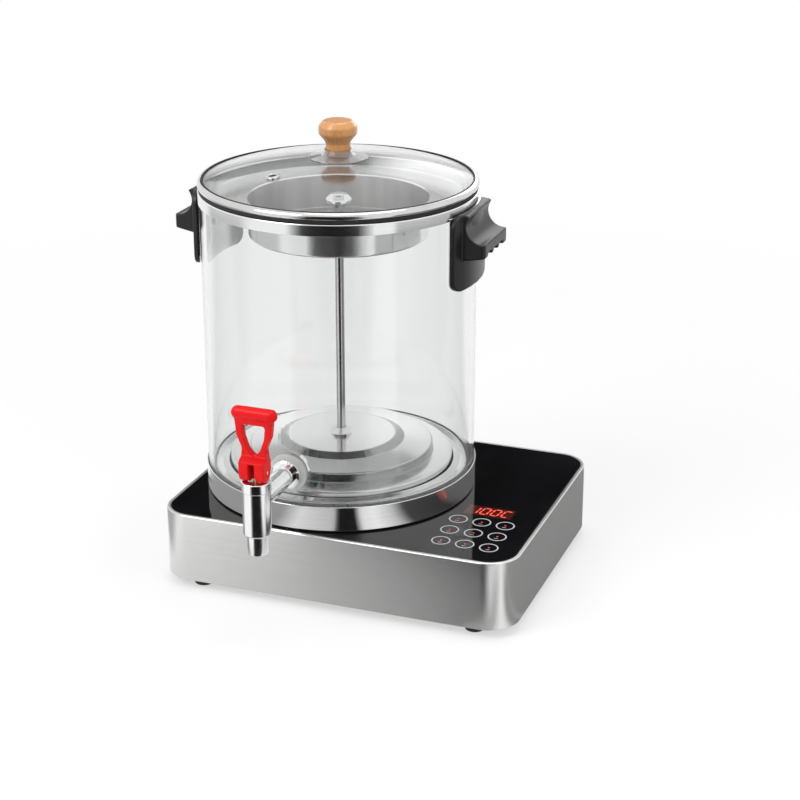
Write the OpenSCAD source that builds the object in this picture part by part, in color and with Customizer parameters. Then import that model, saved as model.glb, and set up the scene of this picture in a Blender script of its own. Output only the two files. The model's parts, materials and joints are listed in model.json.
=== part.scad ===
// Electric tea boiler: a hot-plate base, a glass pot with a lever tap, a spray brewing set and a lid.
// Millimetres. +Z is up, the floor is z = 0 and the origin is the middle of the footprint.

/* [Base] */
// Width of the base, left to right
base_w = 325; // [310:1:380]
// Depth of the base, front to back
base_d = 252; // [246:1:320]
// Height of the steel wrap above the feet
base_h = 62; // [58:1:90]
// Radius of the upright corners
base_corner_r = 28; // [20:1:45]
// Thickness of the steel wrap
wrap_t = 1.5; // [1:0.1:2.5]
// Rounding along the top edge of the wrap
wrap_edge_r = 2; // [1:0.25:2.5]
// Width of the bright lip around the glass plate
lip_w = 3; // [2.75:0.25:6]
// Reach of the ledge that carries the glass plate
ledge_w = 6; // [4:0.5:10]
// Thickness of the black glass plate
plate_t = 4; // [3:0.5:6]
// Thickness of the bottom plate
bottom_t = 2; // [1.5:0.5:4]
// Reach of the bottom flange that takes the screws
flange_w = 12; // [10:0.5:14]
// Pot axis to the left edge of the base
pot_from_left = 124; // [122:1:140]
// Pot axis to the back edge of the base
pot_from_back = 124.5; // [122:0.5:150]
// Height of the rubber feet
foot_h = 8; // [5:0.5:14]
// Radius of the rubber feet
foot_r = 9; // [6:0.5:12]
// Feet to the left and right edges
foot_inset_x = 36; // [30:1:60]
// Feet to the front and back edges
foot_inset_y = 17; // [16:1:40]

/* [Control panel] */
// Middle of the panel to the right edge of the base
panel_from_right = 50.5; // [46:0.5:56]
// Front row of keys to the front edge of the base
keys_from_front = 30.5; // [26:0.5:40]
// Key spacing across
key_pitch_x = 21.3; // [18:0.1:24]
// Key spacing along
key_pitch_y = 23.2; // [20:0.1:26]
// Back row of keys to the middle of the display
display_from_keys = 22.8; // [22:0.1:30]
// Display module width
display_w = 44; // [36:1:56]
// Display module depth
display_d = 20; // [14:1:24]
// Room between the circuit board and the glass
key_spring_h = 12; // [8:0.5:16]
// Radius of a touch-key spring
key_spring_r = 5; // [3:0.5:7]

/* [Hot plate] */
// Outer radius of the insulating dish
heater_r = 92; // [80:1:98]
// Depth of the insulating dish
dish_h = 26; // [24:1:30]
// Floor of the insulating dish
dish_floor = 10; // [6:1:12]
// Wall of the insulating dish
dish_wall = 8; // [5:0.5:12]
// Turns of the heating ribbon
coil_turns = 8; // [4:1:8]
// Spacing of the ribbon's turns
coil_pitch = 7.5; // [5:0.5:7.5]
// Height of the ribbon
coil_h = 6; // [4:0.5:6]
// Radius of the temperature limiter's rod
limiter_r = 2.5; // [1.5:0.25:3]
// Side of the square cooling fan
fan_side = 60; // [50:1:66]
// Height of the cooling fan
fan_h = 20; // [15:1:25]
// Fan centre to the back edge of the base
fan_from_back = 74; // [72:1:78]
// Bore of the cord gland
gland_bore_r = 3.7; // [2.5:0.1:5]
// Gland axis above the base's lower edge
gland_rise = 24; // [18:1:34]
// Thickness of the gland's outer flange
gland_flange_t = 3; // [2:0.5:5]

/* [Pot] */
// Outer radius of the glass
pot_r = 120; // [105:0.5:122]
// Thickness of the glass
glass_t = 5; // [4:0.5:6]
// Height of the pot above the hot plate, to the top of its steel ring
pot_h = 272; // [255:1:330]
// Height of the bottom band
band_h = 23.5; // [20:0.5:26]
// Height of the top ring's outer wall
ring_h = 10; // [8:0.5:16]
// Thickness of the pot's sheet steel
steel_t = 1; // [0.8:0.1:1.4]
// Thickness of the base disc under the pan
disc_t = 6; // [4:0.5:8]
// Thickness of the seal under the glass
seal_t = 2; // [1.5:0.25:3]
// Thickness of the seal between the pan and the glass
seal_leg_t = 1.8; // [1.4:0.1:2.4]

/* [Handles] */
// Glass to the end of a grip
grip_out = 23; // [21:0.5:27]
// Width of the handle plate
handle_w = 84; // [76:1:90]
// Width of the grip
grip_w = 62; // [58:1:70]
// Height of the handle plate
handle_h = 66; // [60:1:76]
// Thickness of the handle plate
handle_t = 4.4; // [3.5:0.1:6]
// Top of the handle plate below the top of the pot
handle_drop = 6; // [4:0.5:9]
// Radius of the hollow for the fingers on top of the grip
grip_hollow_r = 14; // [12:0.5:16]
// Thickness of the grip's end
grip_end_t = 12.5; // [10:0.5:14]
// Radius of a finger scallop
scallop_r = 7.2; // [6:0.1:7.4]
// Spacing of the finger scallops
scallop_pitch = 15; // [14.9:0.1:17]

/* [Tap] */
// Glass to the tap axis
tap_out = 65; // [50:1:85]
// Height of the shank above the hot plate
tap_z = 52.5; // [50:0.5:60]
// Radius of the tap body
tap_r = 11.85; // [11.4:0.05:13]
// Bottom of the spout above the hot plate
spout_z = 6.6; // [3:0.2:9]
// Length of the spout
spout_l = 17.4; // [14:0.2:20]
// Outer radius of the spout
spout_r = 8.65; // [8:0.05:10]
// Bore of the spout
spout_bore_r = 5.5; // [4:0.1:6]
// Radius of the bonnet on the tap body
bonnet_r = 12.5; // [12:0.1:14]
// Height of the bonnet
bonnet_h = 8.8; // [7:0.2:11]
// Radius of the shank
shank_r = 9; // [8.6:0.1:10]
// Radius of the shank's tail through the glass
tail_r = 8; // [7:0.1:8.4]
// Radius of the outer washer
washer_r = 17; // [15:0.5:20]
// Lift of the valve
valve_lift = 3.2; // [2:0.1:4]
// Radius of the valve stem
stem_r = 2.4; // [2:0.1:2.8]
// Radius of the lever pin
pin_r = 1.5; // [1:0.1:1.8]
// Height of the lever pin above the bonnet
pin_rise = 8; // [7.6:0.1:10]
// Width of the lever's fork
fork_w = 22; // [20:0.2:26]
// Width of the lever's top bar
bar_w = 40.2; // [34:0.2:46]
// Radius of the lever's top bar
bar_r = 5.6; // [4.5:0.1:6.5]
// Height of the lever's top bar above the pin
lever_l = 49.9; // [44:0.1:60]
// Thickness of the lever's loop
loop_t = 7; // [6:0.5:9]

/* [Brewing set] */
// Outer radius of the tea basket
basket_r = 83; // [76:0.1:88]
// Depth of the tea basket
basket_h = 33; // [26:1:60]
// Depth of the basket's flange below the top ring
flange_drop = 10; // [8:0.5:14]
// Thickness of the basket's sheet steel
basket_t = 0.8; // [0.6:0.1:1.2]
// Outer radius of the riser tube
tube_r = 4; // [3.5:0.1:5]
// Wall of the riser tube
tube_wall = 1; // [0.6:0.1:1.2]
// Gap between the bell and the step of the pan
bell_side_gap = 3.2; // [3:0.1:10]
// Radius of the bell's middle step
bell_step_r = 82.5; // [74:0.5:86]
// Radius of the bell's top
bell_top_r = 49; // [40:0.5:60]
// Height of the bell's top above the hot plate
bell_top_z = 45.5; // [44:0.5:52]
// Height of the bell's middle step
bell_step_z = 39; // [36:0.5:41]
// Height of the bell's shoulder
bell_shoulder_z = 30; // [26:0.5:32]
// Radius of the spray cap
cap_r = 12.3; // [10:0.1:16]
// Radius of the holes in the sieve
sieve_hole_r = 2; // [1:0.1:2.4]
// Spacing of the holes in the sieve
sieve_pitch = 11; // [9:0.5:16]

/* [Lid] */
// Radius of the domed glass
dome_r = 400; // [360:5:520]
// Thickness of the domed glass
lid_t = 4; // [3:0.5:5]
// Height of the steel rim
rim_h = 7; // [6:0.25:9]
// Height of the gasket under the rim
gasket_h = 2.7; // [2:0.1:4]
// Height of the knob
knob_h = 24.5; // [20:0.5:40]
// Radius of the knob
knob_r = 16.4; // [14:0.1:20]
// Radius of the knob's neck
knob_neck_r = 10.7; // [9:0.1:12.5]
// Radius of the plate under the knob
knob_plate_r = 26; // [18:0.5:32]
// Distance of the vent from the lid's axis
vent_reach = 69.5; // [44:0.1:80]
// Direction of the vent, from the right, anticlockwise
vent_turn = 239.8; // [0:0.1:360]
// Bore of the vent
vent_bore_r = 3; // [2:0.1:4]

/* [Fits] */
// Gap between pieces that lie loose on each other
rest_gap = 0.3; // [0.2:0.05:0.5]
// Gap round pieces that drop into each other
fit = 0.3; // [0.2:0.05:0.4]
// Gap round glued or pressed pieces
snug = 0.1; // [0.05:0.01:0.2]
// Gap round shafts that turn or slide
run_fit = 0.08; // [0.05:0.01:0.1]

/* [Hidden] */
$fn = 96;
// Cutting tools run past the faces that they cut by this much
past = 1;

// Levels of the base
hob = foot_h + base_h;
plate_bottom = hob - plate_t;
bottom_top = foot_h + bottom_t;
ledge_t = 1.5;
flange_t = 1.5;

// The footprint's middle, seen from the pot axis
handle_reach = pot_r + grip_out;
tap_reach = pot_r + tap_out;
fork_front = 10.2;
reach_left = max(pot_from_left, handle_reach);
reach_right = max(base_w - pot_from_left, handle_reach);
reach_front = max(tap_reach + max(bonnet_r, fork_front), base_d - pot_from_back);
reach_back = pot_from_back + gland_flange_t;
pot_x = (reach_left - reach_right) / 2;
pot_y = (reach_front - reach_back) / 2;

// Panel and electronics, seen from the middle of the base
panel_x = base_w / 2 - panel_from_right;
function key_y(row) = -base_d / 2 + keys_from_front + row * key_pitch_y;
display_y = key_y(2) + display_from_keys;
board_t = 1.6;
board_w = 80;
board_front = -base_d / 2 + flange_w + 2;
board_back = display_y + display_d / 2 + 8;
board_top = plate_bottom - key_spring_h;
board_bottom = board_top - board_t;
post_r = 3;
post_inset = 6;
relay = [20, 16, 16];
transformer = [24, 26, 22];
sink = [21.6, 30, 24];
sink_base_t = 3;
sink_fin_t = 1.6;
sink_fins = 5;
can_r = 4;
can_h = 18;
can_pitch = 10;
parts_left = 26;
parts_gap = 4;
parts_front = 16;
parts_back = 50;
fan_y = base_d / 2 - fan_from_back;
fan_bore_r = fan_side / 2 - 2.5;
fan_hub_r = 11;
fan_shaft_r = 1.5;
fan_floor = 3;
fan_blade_gap = 1.2;
fan_blades = 7;
gland_x = panel_x - fan_side / 2 - 16;
gland_z = foot_h + gland_rise;
gland_neck_r = gland_bore_r + 2.8;
gland_flange_r = gland_bore_r + 5.3;
screw_r = 1.5;
screw_head_r = 3;
screw_head_h = 1.8;
screw_l = 8;
screw_edge = wrap_t + flange_w / 2;
screw_x = base_w / 2 - foot_inset_x - foot_r - 14;
bottom_screw_at = [for (x = [-1, 1], y = [-1, 1]) [x * screw_x, y * (base_d / 2 - screw_edge)],
    for (x = [-1, 1]) [x * (base_w / 2 - screw_edge), 0]];

// Hot plate
limiter_drop = 5;
limiter_head = [14, 18, 16];
coil_t = 0.8;
coil_start_r = 14;
bracket_t = 1.5;
bracket_w = 28;
bracket_foot = 12;
bracket_x = heater_r - 6;

// Pot levels are measured from the hot plate
side_gap = 0.4;
band_r = pot_r + side_gap + steel_t;
band_edge_r = 2;
glass_in_r = pot_r - glass_t;
pan_wall_r = glass_in_r - seal_leg_t;
pan_step_r = pan_wall_r - 10;
disc_r = pan_step_r - 4;
gutter_z = rest_gap + steel_t;
pan_floor_z = rest_gap + disc_t;
glass_z = gutter_z + seal_t;
ring_seal_t = 1.5;
glass_top = pot_h - steel_t - ring_seal_t;
ring_in_r = glass_in_r - fit - steel_t - 1;
ring_inner_h = 6;
lug_in_r = band_r - 0.2;
lug_r = band_r + steel_t;

// Handle
handle_in_r = lug_r + fit;
handle_out_r = handle_in_r + handle_t;
handle_top = pot_h - handle_drop;
handle_corner = 12;
lug_margin = 0.6;
hollow_z = handle_top - 10;
hollow_x = handle_out_r + grip_hollow_r - 1;
grip_tip_z = hollow_z - sqrt(pow(grip_hollow_r, 2) - pow(handle_reach - hollow_x, 2));
grip_low_z = grip_tip_z - grip_end_t;
grip_slope = 4;
grip_corner = 3;
handle_screw_z = grip_low_z + 4.5;
handle_screw_turn = 7;
handle_screw_r = 2;
handle_screw_head_r = 4;
handle_screw_head_t = 0.6;
handle_screw_l = 11;

// Tap, seen from its own axis
body_z = spout_z + spout_l;
bonnet_z = tap_z + shank_r + 1.5;
bonnet_top = bonnet_z + bonnet_h;
pin_z = bonnet_top + pin_rise;
seat_z = body_z + 9;
chamber_r = tap_r - 3.5;
inlet_r = tail_r - 3;
shoulder = 2;
tap_flange_r = 13;
tap_flange_t = 5;
washer_t = 3;
inner_washer_t = 2;
nut_r = 15;
nut_t = 5.5;
inner_seat = glass_in_r - 1 - inner_washer_t;
tail_end = inner_seat - nut_t - 1;
cup_r = chamber_r - 1.1;
cup_h = 7.5;
cup_z = seat_z + rest_gap;
stem_top = pin_z + 3.4;
stem_bottom = cup_z + 3;
spring_wire_r = 0.6;
spring_r = stem_r + 2.6;
spring_turns = 6;
spring_low = cup_z + cup_h + spring_wire_r;
spring_high = bonnet_z - spring_wire_r - snug;

// Lever
cam_offset = 2.5;
cam_r = pin_rise - 0.5;
fork_back = 6;
fork_top = 10.5;
neck_top = 17.5;
slot_gap = 0.35;
slot_r = 4.8;
slot_top = 9;
bar_z = pin_z + lever_l;
arm_top_half = 16.8;
arm_mid_half = 15;
waist_half = 10.6;
waist_z = neck_top + 3.5;
arm_top_z = lever_l - bar_r / 2;
hole_top_half = 10.4;
hole_mid_half = 9.2;
hole_low_half = 5.4;
hole_corner = 2.4;
hole_low_z = neck_top - 4;
hole_top_z = lever_l - bar_r - 3.1;
function hole_z(share) = hole_low_z + share * (hole_top_z - hole_low_z);

// Brewing set
basket_lip_r = glass_in_r + 0.5;
basket_dish_r = ring_in_r - 1;
basket_flange_z = pot_h - flange_drop;
basket_z = basket_flange_z - basket_h;
basket_lip_z = pot_h + rest_gap;
basket_bend = 3;
sieve_edge = 8;
sieve_t = 1.2;
sieve_z = basket_z - sieve_t;
cap_stem_z = basket_flange_z - 12.6;
cap_stem_r = tube_r + 1.2;
cap_dome_z = cap_stem_z + 8.6;
cap_dome_h = 7.8;
cap_window_w = 3;
tube_top = cap_stem_z + 3;
bell_t = 0.8;
bell_r = pan_step_r - bell_side_gap;
bell_hub_r = 7;
bell_hub_h = 6;
bell_rim_z = pan_floor_z + steel_t + 0.5;
bell_notches = 6;
bell_notch_w = 12;
bell_notch_h = 4;

// Lid
gasket_z = pot_h + rest_gap;
rim_z = gasket_z + gasket_h;
rim_r = band_r + 0.2;
rim_w = 6.6;
rim_edge_r = 2.8;
lid_glass_r = rim_r - 2.6;
// The dome meets the rim so that the rim's upper lip covers the glass edge
rim_lip = 1.5;
dome_edge_r = rim_r - rim_w + 2;
dome_z = rim_z + rim_h - rim_lip - sqrt(pow(dome_r, 2) - pow(dome_edge_r, 2));
dome_top = dome_z + dome_r;
knob_plate_h = 7.6;
knob_z = dome_top + knob_plate_h;
knob_screw_r = 2.5;
knob_screw_head_r = 6;
knob_screw_head_h = 3;
knob_hole = 15;
vent_tilt = asin(vent_reach / dome_r);
vent_wall = 1;
vent_flange_r = vent_bore_r + 3.3;
vent_flange_t = 0.8;

// Frames that the pieces are drawn in
module at_base() translate([pot_x - pot_from_left + base_w / 2, pot_y + pot_from_back - base_d / 2, 0]) children();
module at_axis() translate([pot_x, pot_y, 0]) children();
module at_pot() translate([pot_x, pot_y, hob]) children();
module at_tap() at_pot() translate([0, -tap_reach, 0]) children();

// Paths for turned and pressed shapes
function unit(v) = v / norm(v);

// The arc that rounds corner b between a and c
function corner_arc(a, b, c, r, n) =
    let (u = unit(a - b), v = unit(c - b), half = acos(u * v) / 2)
    let (o = b + unit(u + v) * r / sin(half), p = b + u * r / tan(half), q = b + v * r / tan(half))
    [for (i = [0:n]) o + r * unit((p - o) * (1 - i / n) + (q - o) * i / n)];

// An open path with each inner corner rounded
function rounded_path(pts, r, n = 4) = concat([pts[0]],
    [for (i = [1:len(pts) - 2]) each corner_arc(pts[i - 1], pts[i], pts[i + 1], r, n)],
    [pts[len(pts) - 1]]);

// A closed path with every corner rounded
function rounded_loop(pts, r, n = 6) =
    [for (i = [0:len(pts) - 1])
        each corner_arc(pts[(i + len(pts) - 1) % len(pts)], pts[i], pts[(i + 1) % len(pts)], r, n)];

// The same path moved sideways by t, to the left of its direction
function offset_path(path, t) =
    [for (i = [0:len(path) - 1])
        let (d0 = i > 0 ? unit(path[i] - path[i - 1]) : unit(path[1] - path[0]))
        let (d1 = i < len(path) - 1 ? unit(path[i + 1] - path[i]) : d0)
        let (n0 = [-d0[1], d0[0]], m = unit(n0 + [-d1[1], d1[0]]))
        path[i] + m * t / (m * n0)];

// A pressed sheet in section: the path is one face and t its thickness
module sheet(path, t) {
    other = offset_path(path, t);
    polygon(concat(path, [for (i = [len(other) - 1:-1:0]) other[i]]));
}

// Plan and section shapes
module rounded_rect(w, d, r) {
    square([w - 2 * r, d], center = true);
    square([w, d - 2 * r], center = true);
    for (x = [-1, 1], y = [-1, 1]) translate([x * (w / 2 - r), y * (d / 2 - r)]) circle(r);
}

module slot(l, r) {
    square([l - 2 * r, 2 * r], center = true);
    for (x = [-1, 1]) translate([x * (l / 2 - r), 0]) circle(r);
}

// A section carried round a rounded rectangle: its x = 0 is the outer face
module around(w, d, r) {
    for (i = [0:3])
        translate([(i == 0 || i == 3 ? 1 : -1) * (w / 2 - r), (i < 2 ? 1 : -1) * (d / 2 - r), 0])
            rotate(90 * i) rotate_extrude(angle = 90) translate([r, 0]) children();
    for (turn = [0, 180]) rotate(turn) {
        translate([w / 2, d / 2 - r, 0]) rotate([90, 0, 0]) linear_extrude(d - 2 * r) children();
        translate([-(w / 2 - r), d / 2, 0]) rotate([90, 0, 90]) linear_extrude(w - 2 * r) children();
    }
}

module tube_shape(r_out, r_in, h) {
    difference() {
        cylinder(r = r_out, h = h);
        translate([0, 0, -past]) cylinder(r = r_in, h = h + 2 * past);
    }
}

// The base

module wrap_section() {
    difference() {
        union() {
            translate([-wrap_t, 0]) square([wrap_t, base_h]);
            translate([-lip_w, base_h - plate_t - ledge_t]) square([lip_w, plate_t + ledge_t]);
            translate([-lip_w - ledge_w, base_h - plate_t - ledge_t]) square([lip_w + ledge_w, ledge_t]);
            translate([-flange_w, bottom_t]) square([flange_w, flange_t]);
        }
        translate([-wrap_edge_r, base_h - wrap_edge_r]) difference() {
            square(wrap_edge_r + past);
            circle(wrap_edge_r);
        }
    }
}

module base_housing() color("silver") at_base() difference() {
    translate([0, 0, foot_h]) around(base_w, base_d, base_corner_r) wrap_section();
    translate([gland_x, base_d / 2 + past, gland_z]) rotate([90, 0, 0])
        cylinder(r = gland_neck_r + snug, h = wrap_t + 2 * past);
    for (i = [-4:4]) translate([panel_x + i * 6, base_d / 2 + past, gland_z + 6]) rotate([90, 90, 0])
        linear_extrude(wrap_t + 2 * past) slot(22, 1.5);
    for (p = bottom_screw_at) translate([p[0], p[1], foot_h])
        cylinder(r = screw_r + snug, h = bottom_t + flange_t + past);
}

module glass_top_plate() color([0.06, 0.06, 0.07]) at_base() translate([0, 0, plate_bottom])
    linear_extrude(plate_t)
        rounded_rect(base_w - 2 * (lip_w + fit), base_d - 2 * (lip_w + fit), base_corner_r - lip_w - fit);

module base_bottom_plate() color("dimgray") at_base() difference() {
    union() {
        translate([0, 0, foot_h]) linear_extrude(bottom_t)
            rounded_rect(base_w - 2 * (wrap_t + fit), base_d - 2 * (wrap_t + fit), base_corner_r - wrap_t - fit);
        // Posts under the circuit board
        for (x = [-1, 1], y = [board_front + post_inset, board_back - post_inset])
            translate([panel_x + x * (board_w / 2 - post_inset), y, bottom_top])
                cylinder(r = post_r, h = board_bottom - bottom_top);
    }
    // Air slots under the fan
    for (i = [-3:3]) translate([panel_x, fan_y + i * 6, foot_h - past])
        linear_extrude(bottom_t + 2 * past) slot(sqrt(pow(fan_bore_r, 2) - pow(i * 6, 2)) * 1.7, 1.5);
    for (p = bottom_screw_at) translate([p[0], p[1], foot_h - past])
        cylinder(r = screw_r + snug, h = bottom_t + 2 * past);
}

module rubber_feet() color([0.08, 0.08, 0.08]) at_base()
    for (x = [-1, 1], y = [-1, 1])
        translate([x * (base_w / 2 - foot_inset_x), y * (base_d / 2 - foot_inset_y), 0])
            rotate_extrude() polygon([[0, 0], [foot_r - 1, 0], [foot_r, 1], [foot_r, foot_h - 2],
                [foot_r - 1, foot_h], [0, foot_h]]);

module bottom_screws() color("gray") at_base()
    for (p = bottom_screw_at) translate([p[0], p[1], foot_h]) {
        translate([0, 0, -screw_head_h]) cylinder(r = screw_head_r, h = screw_head_h);
        cylinder(r = screw_r, h = screw_l);
    }

module heater_dish() color("white") at_axis() translate([0, 0, plate_bottom - dish_h]) difference() {
    cylinder(r = heater_r, h = dish_h);
    translate([0, 0, dish_floor]) cylinder(r = heater_r - dish_wall, h = dish_h);
    translate([0, 0, dish_h - limiter_drop]) rotate([90, 0, 0])
        cylinder(r = limiter_r + snug, h = 2 * heater_r + 2 * past, center = true);
}

// The ribbon is one spiral of half circles about two centres in turn
module heater_coil() color("orangered") at_axis() translate([0, 0, plate_bottom - dish_h + dish_floor])
    for (i = [0:2 * coil_turns - 1])
        translate([i % 2 * coil_pitch / 2, 0, 0]) rotate(i % 2 * 180) rotate_extrude(angle = 180)
            translate([coil_start_r + i * coil_pitch / 2, 0]) square([coil_t, coil_h]);

module heat_limiter() color("lightgray") at_axis() translate([0, 0, plate_bottom - limiter_drop]) {
    translate([0, heater_r + 2 * fit, 0]) rotate([90, 0, 0]) cylinder(r = limiter_r, h = 2 * (heater_r + fit));
    translate([-limiter_head[0] / 2, heater_r + fit, limiter_drop - limiter_head[2] - fit]) cube(limiter_head);
}

module heater_bracket() color("gainsboro") at_axis() {
    rise = plate_bottom - dish_h - bottom_top;
    translate([0, bracket_w / 2, bottom_top]) rotate([90, 0, 0]) linear_extrude(bracket_w) {
        translate([-bracket_x, rise - bracket_t]) square([2 * bracket_x, bracket_t]);
        for (s = [-1, 1]) {
            translate([s * bracket_x - bracket_t / 2, 0]) square([bracket_t, rise]);
            translate([s * (bracket_x - bracket_foot / 2) - bracket_foot / 2, 0]) square([bracket_foot, bracket_t]);
        }
    }
}

module control_board() color("darkgreen") at_base() translate([panel_x, 0, 0]) {
    translate([-board_w / 2, board_front, board_bottom]) cube([board_w, board_back - board_front, board_t]);
    // Relay, transformer, heat sink and capacitors hang under the board
    translate([-parts_left, board_front + parts_front, board_bottom - relay[2]]) cube(relay);
    translate([parts_gap, board_front + parts_front, board_bottom - transformer[2]]) cube(transformer);
    translate([-parts_left, board_front + parts_back, board_bottom]) {
        for (i = [0:sink_fins - 1]) translate([i * (sink[0] - sink_fin_t) / (sink_fins - 1), 0, -sink[2]])
            cube([sink_fin_t, sink[1], sink[2]]);
        translate([0, 0, -sink_base_t]) cube([sink[0], sink[1], sink_base_t]);
    }
    for (i = [0:2]) translate([2 * parts_gap + i * can_pitch, board_front + parts_back + 2 * can_r,
        board_bottom - can_h]) cylinder(r = can_r, h = can_h);
}

module display_module() color("firebrick") at_base() translate([panel_x, display_y, board_top]) difference() {
    translate([-display_w / 2, -display_d / 2, 0]) cube([display_w, display_d, key_spring_h]);
    // Four digit wells in the face
    for (i = [0:3]) translate([(i - 1.5) * display_w / 4.4 - display_w / 11, -display_d / 4, key_spring_h - 1.5])
        cube([display_w / 5.5, display_d / 2, 2 * past]);
}

module touch_key_springs() color("gold") at_base()
    for (col = [-1:1], row = [0:2])
        translate([panel_x + col * key_pitch_x, key_y(row), board_top])
            tube_shape(key_spring_r, key_spring_r - 1, key_spring_h);

module fan_frame() color([0.15, 0.15, 0.16]) at_base() translate([panel_x, fan_y, bottom_top]) difference() {
    union() {
        linear_extrude(fan_h) difference() {
            rounded_rect(fan_side, fan_side, 4);
            circle(fan_bore_r);
        }
        cylinder(r = fan_hub_r + 1, h = fan_floor);
        for (i = [0:2]) rotate(i * 120 + 30) translate([0, -2, 0]) cube([fan_bore_r + 1, 4, fan_floor]);
    }
    translate([0, 0, -past]) cylinder(r = fan_shaft_r + run_fit, h = fan_floor + 2 * past);
}

module fan_rotor() color([0.25, 0.25, 0.27]) at_base() translate([panel_x, fan_y, bottom_top]) {
    low = fan_floor + 0.6;
    translate([0, 0, 0.3]) cylinder(r = fan_shaft_r, h = low);
    translate([0, 0, low]) cylinder(r = fan_hub_r, h = fan_h - low - 1);
    intersection() {
        translate([0, 0, low]) cylinder(r = fan_bore_r - fan_blade_gap, h = fan_h - low - 2);
        for (i = [0:fan_blades - 1]) rotate(i * 360 / fan_blades)
            translate([0, 0, (low + fan_h - 2) / 2]) rotate([52, 0, 0])
                translate([fan_hub_r - 2, -fan_h, -0.7]) cube([fan_bore_r, 2 * fan_h, 1.4]);
    }
}

module cord_gland() color([0.1, 0.1, 0.1]) at_base() translate([gland_x, base_d / 2, gland_z]) rotate([90, 0, 0])
    difference() {
        union() {
            translate([0, 0, -gland_flange_t]) cylinder(r = gland_flange_r, h = gland_flange_t);
            cylinder(r = gland_neck_r, h = wrap_t + gland_flange_t);
            translate([0, 0, wrap_t]) cylinder(r = gland_flange_r, h = gland_flange_t);
        }
        translate([0, 0, -gland_flange_t - past])
            cylinder(r = gland_bore_r, h = wrap_t + 2 * gland_flange_t + 2 * past);
    }

// The pot

module glass_cylinder() color([0.85, 0.93, 0.95, 0.3]) at_pot() difference() {
    translate([0, 0, glass_z]) tube_shape(pot_r, glass_in_r, glass_top - glass_z);
    translate([0, -glass_in_r + glass_t, tap_z]) rotate([90, 0, 0]) cylinder(r = tail_r + fit, h = 3 * glass_t);
}

module bottom_band() color("lightgray") at_pot() rotate_extrude() difference() {
    union() {
        translate([band_r - steel_t, rest_gap]) square([steel_t, band_h - rest_gap]);
        translate([disc_r + 1, rest_gap]) square([band_r - disc_r - 1, steel_t]);
    }
    translate([band_r - band_edge_r, rest_gap + band_edge_r]) difference() {
        translate([0, -band_edge_r - past]) square(band_edge_r + past);
        circle(band_edge_r);
    }
}

module bottom_pan() color("whitesmoke") at_pot() rotate_extrude()
    sheet(rounded_path([[0, pan_floor_z], [pan_step_r - steel_t, pan_floor_z], [pan_step_r - steel_t, gutter_z],
        [pan_wall_r, gutter_z], [pan_wall_r, band_h + 1]], steel_t * 0.9, 3), steel_t);

module heat_disc() color("gray") at_pot() translate([0, 0, rest_gap]) cylinder(r = disc_r, h = disc_t);

module bottom_seal() color([0.75, 0.75, 0.75]) at_pot() rotate_extrude() {
    translate([pan_wall_r + snug, gutter_z]) square([band_r - steel_t - pan_wall_r - 2 * snug, seal_t]);
    translate([pan_wall_r + snug, gutter_z]) square([seal_leg_t - 2 * snug, band_h - gutter_z]);
}

module lug_outline(margin) {
    translate([0, handle_top - handle_h / 2])
        rounded_rect(handle_w - 2 * margin, handle_h - 2 * margin, handle_corner - margin);
}

module top_ring() color("lightgray") at_pot() difference() {
    union() {
        rotate_extrude() {
            translate([band_r - steel_t, pot_h - ring_h]) square([steel_t, ring_h]);
            translate([ring_in_r, pot_h - steel_t]) square([band_r - ring_in_r, steel_t]);
            translate([ring_in_r, pot_h - ring_inner_h]) square([steel_t, ring_inner_h]);
        }
        // Tongues behind the handles
        for (turn = [0, 180]) rotate(turn) intersection() {
            translate([0, 0, handle_top - handle_h]) tube_shape(lug_r, lug_in_r, handle_h);
            rotate([90, 0, 90]) linear_extrude(2 * pot_r) lug_outline(lug_margin);
        }
    }
    at_handle_screws() cylinder(r = handle_screw_r + snug, h = 2 * lug_r, center = true);
}

module at_handle_screws()
    for (turn = [0, 180], side = [-1, 1])
        translate([0, 0, handle_screw_z]) rotate(turn + side * handle_screw_turn) translate([lug_in_r, 0, 0])
            rotate([0, 90, 0]) children();

module ring_seal() color([0.75, 0.75, 0.75]) at_pot() translate([0, 0, glass_top])
    tube_shape(pot_r, glass_in_r, ring_seal_t);

module grip_section() {
    difference() {
        polygon([[lug_in_r, grip_low_z - grip_slope], [handle_reach, grip_low_z], [handle_reach, hollow_z],
            [handle_out_r - 0.6, handle_top], [lug_in_r, handle_top]]);
        translate([hollow_x, hollow_z]) circle(grip_hollow_r);
        translate([hollow_x, hollow_z]) square(2 * grip_hollow_r);
    }
}

module handle() difference() {
    union() {
        intersection() {
            translate([0, 0, handle_top - handle_h]) cylinder(r = handle_out_r, h = handle_h);
            rotate([90, 0, 90]) linear_extrude(2 * pot_r) lug_outline(0);
        }
        intersection() {
            rotate([90, 0, 0]) linear_extrude(grip_w, center = true) grip_section();
            translate([0, 0, handle_top - handle_h]) linear_extrude(handle_h)
                translate([handle_reach - pot_r, 0]) rounded_rect(2 * pot_r, grip_w, grip_corner);
        }
    }
    translate([0, 0, handle_top - handle_h - past]) cylinder(r = handle_in_r, h = handle_h + 2 * past);
    // Finger scallops under the end of the grip
    for (i = [-1:1]) translate([handle_out_r + 6, i * scallop_pitch, grip_low_z - scallop_r + 4])
        rotate([0, 90, 0]) cylinder(r = scallop_r, h = handle_reach);
    at_handle_screws() cylinder(r = handle_screw_r + snug, h = handle_screw_l + snug);
}

module right_handle() color([0.12, 0.12, 0.13]) at_pot() handle();

module left_handle() color([0.12, 0.12, 0.13]) at_pot() mirror([1, 0, 0]) handle();

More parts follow.
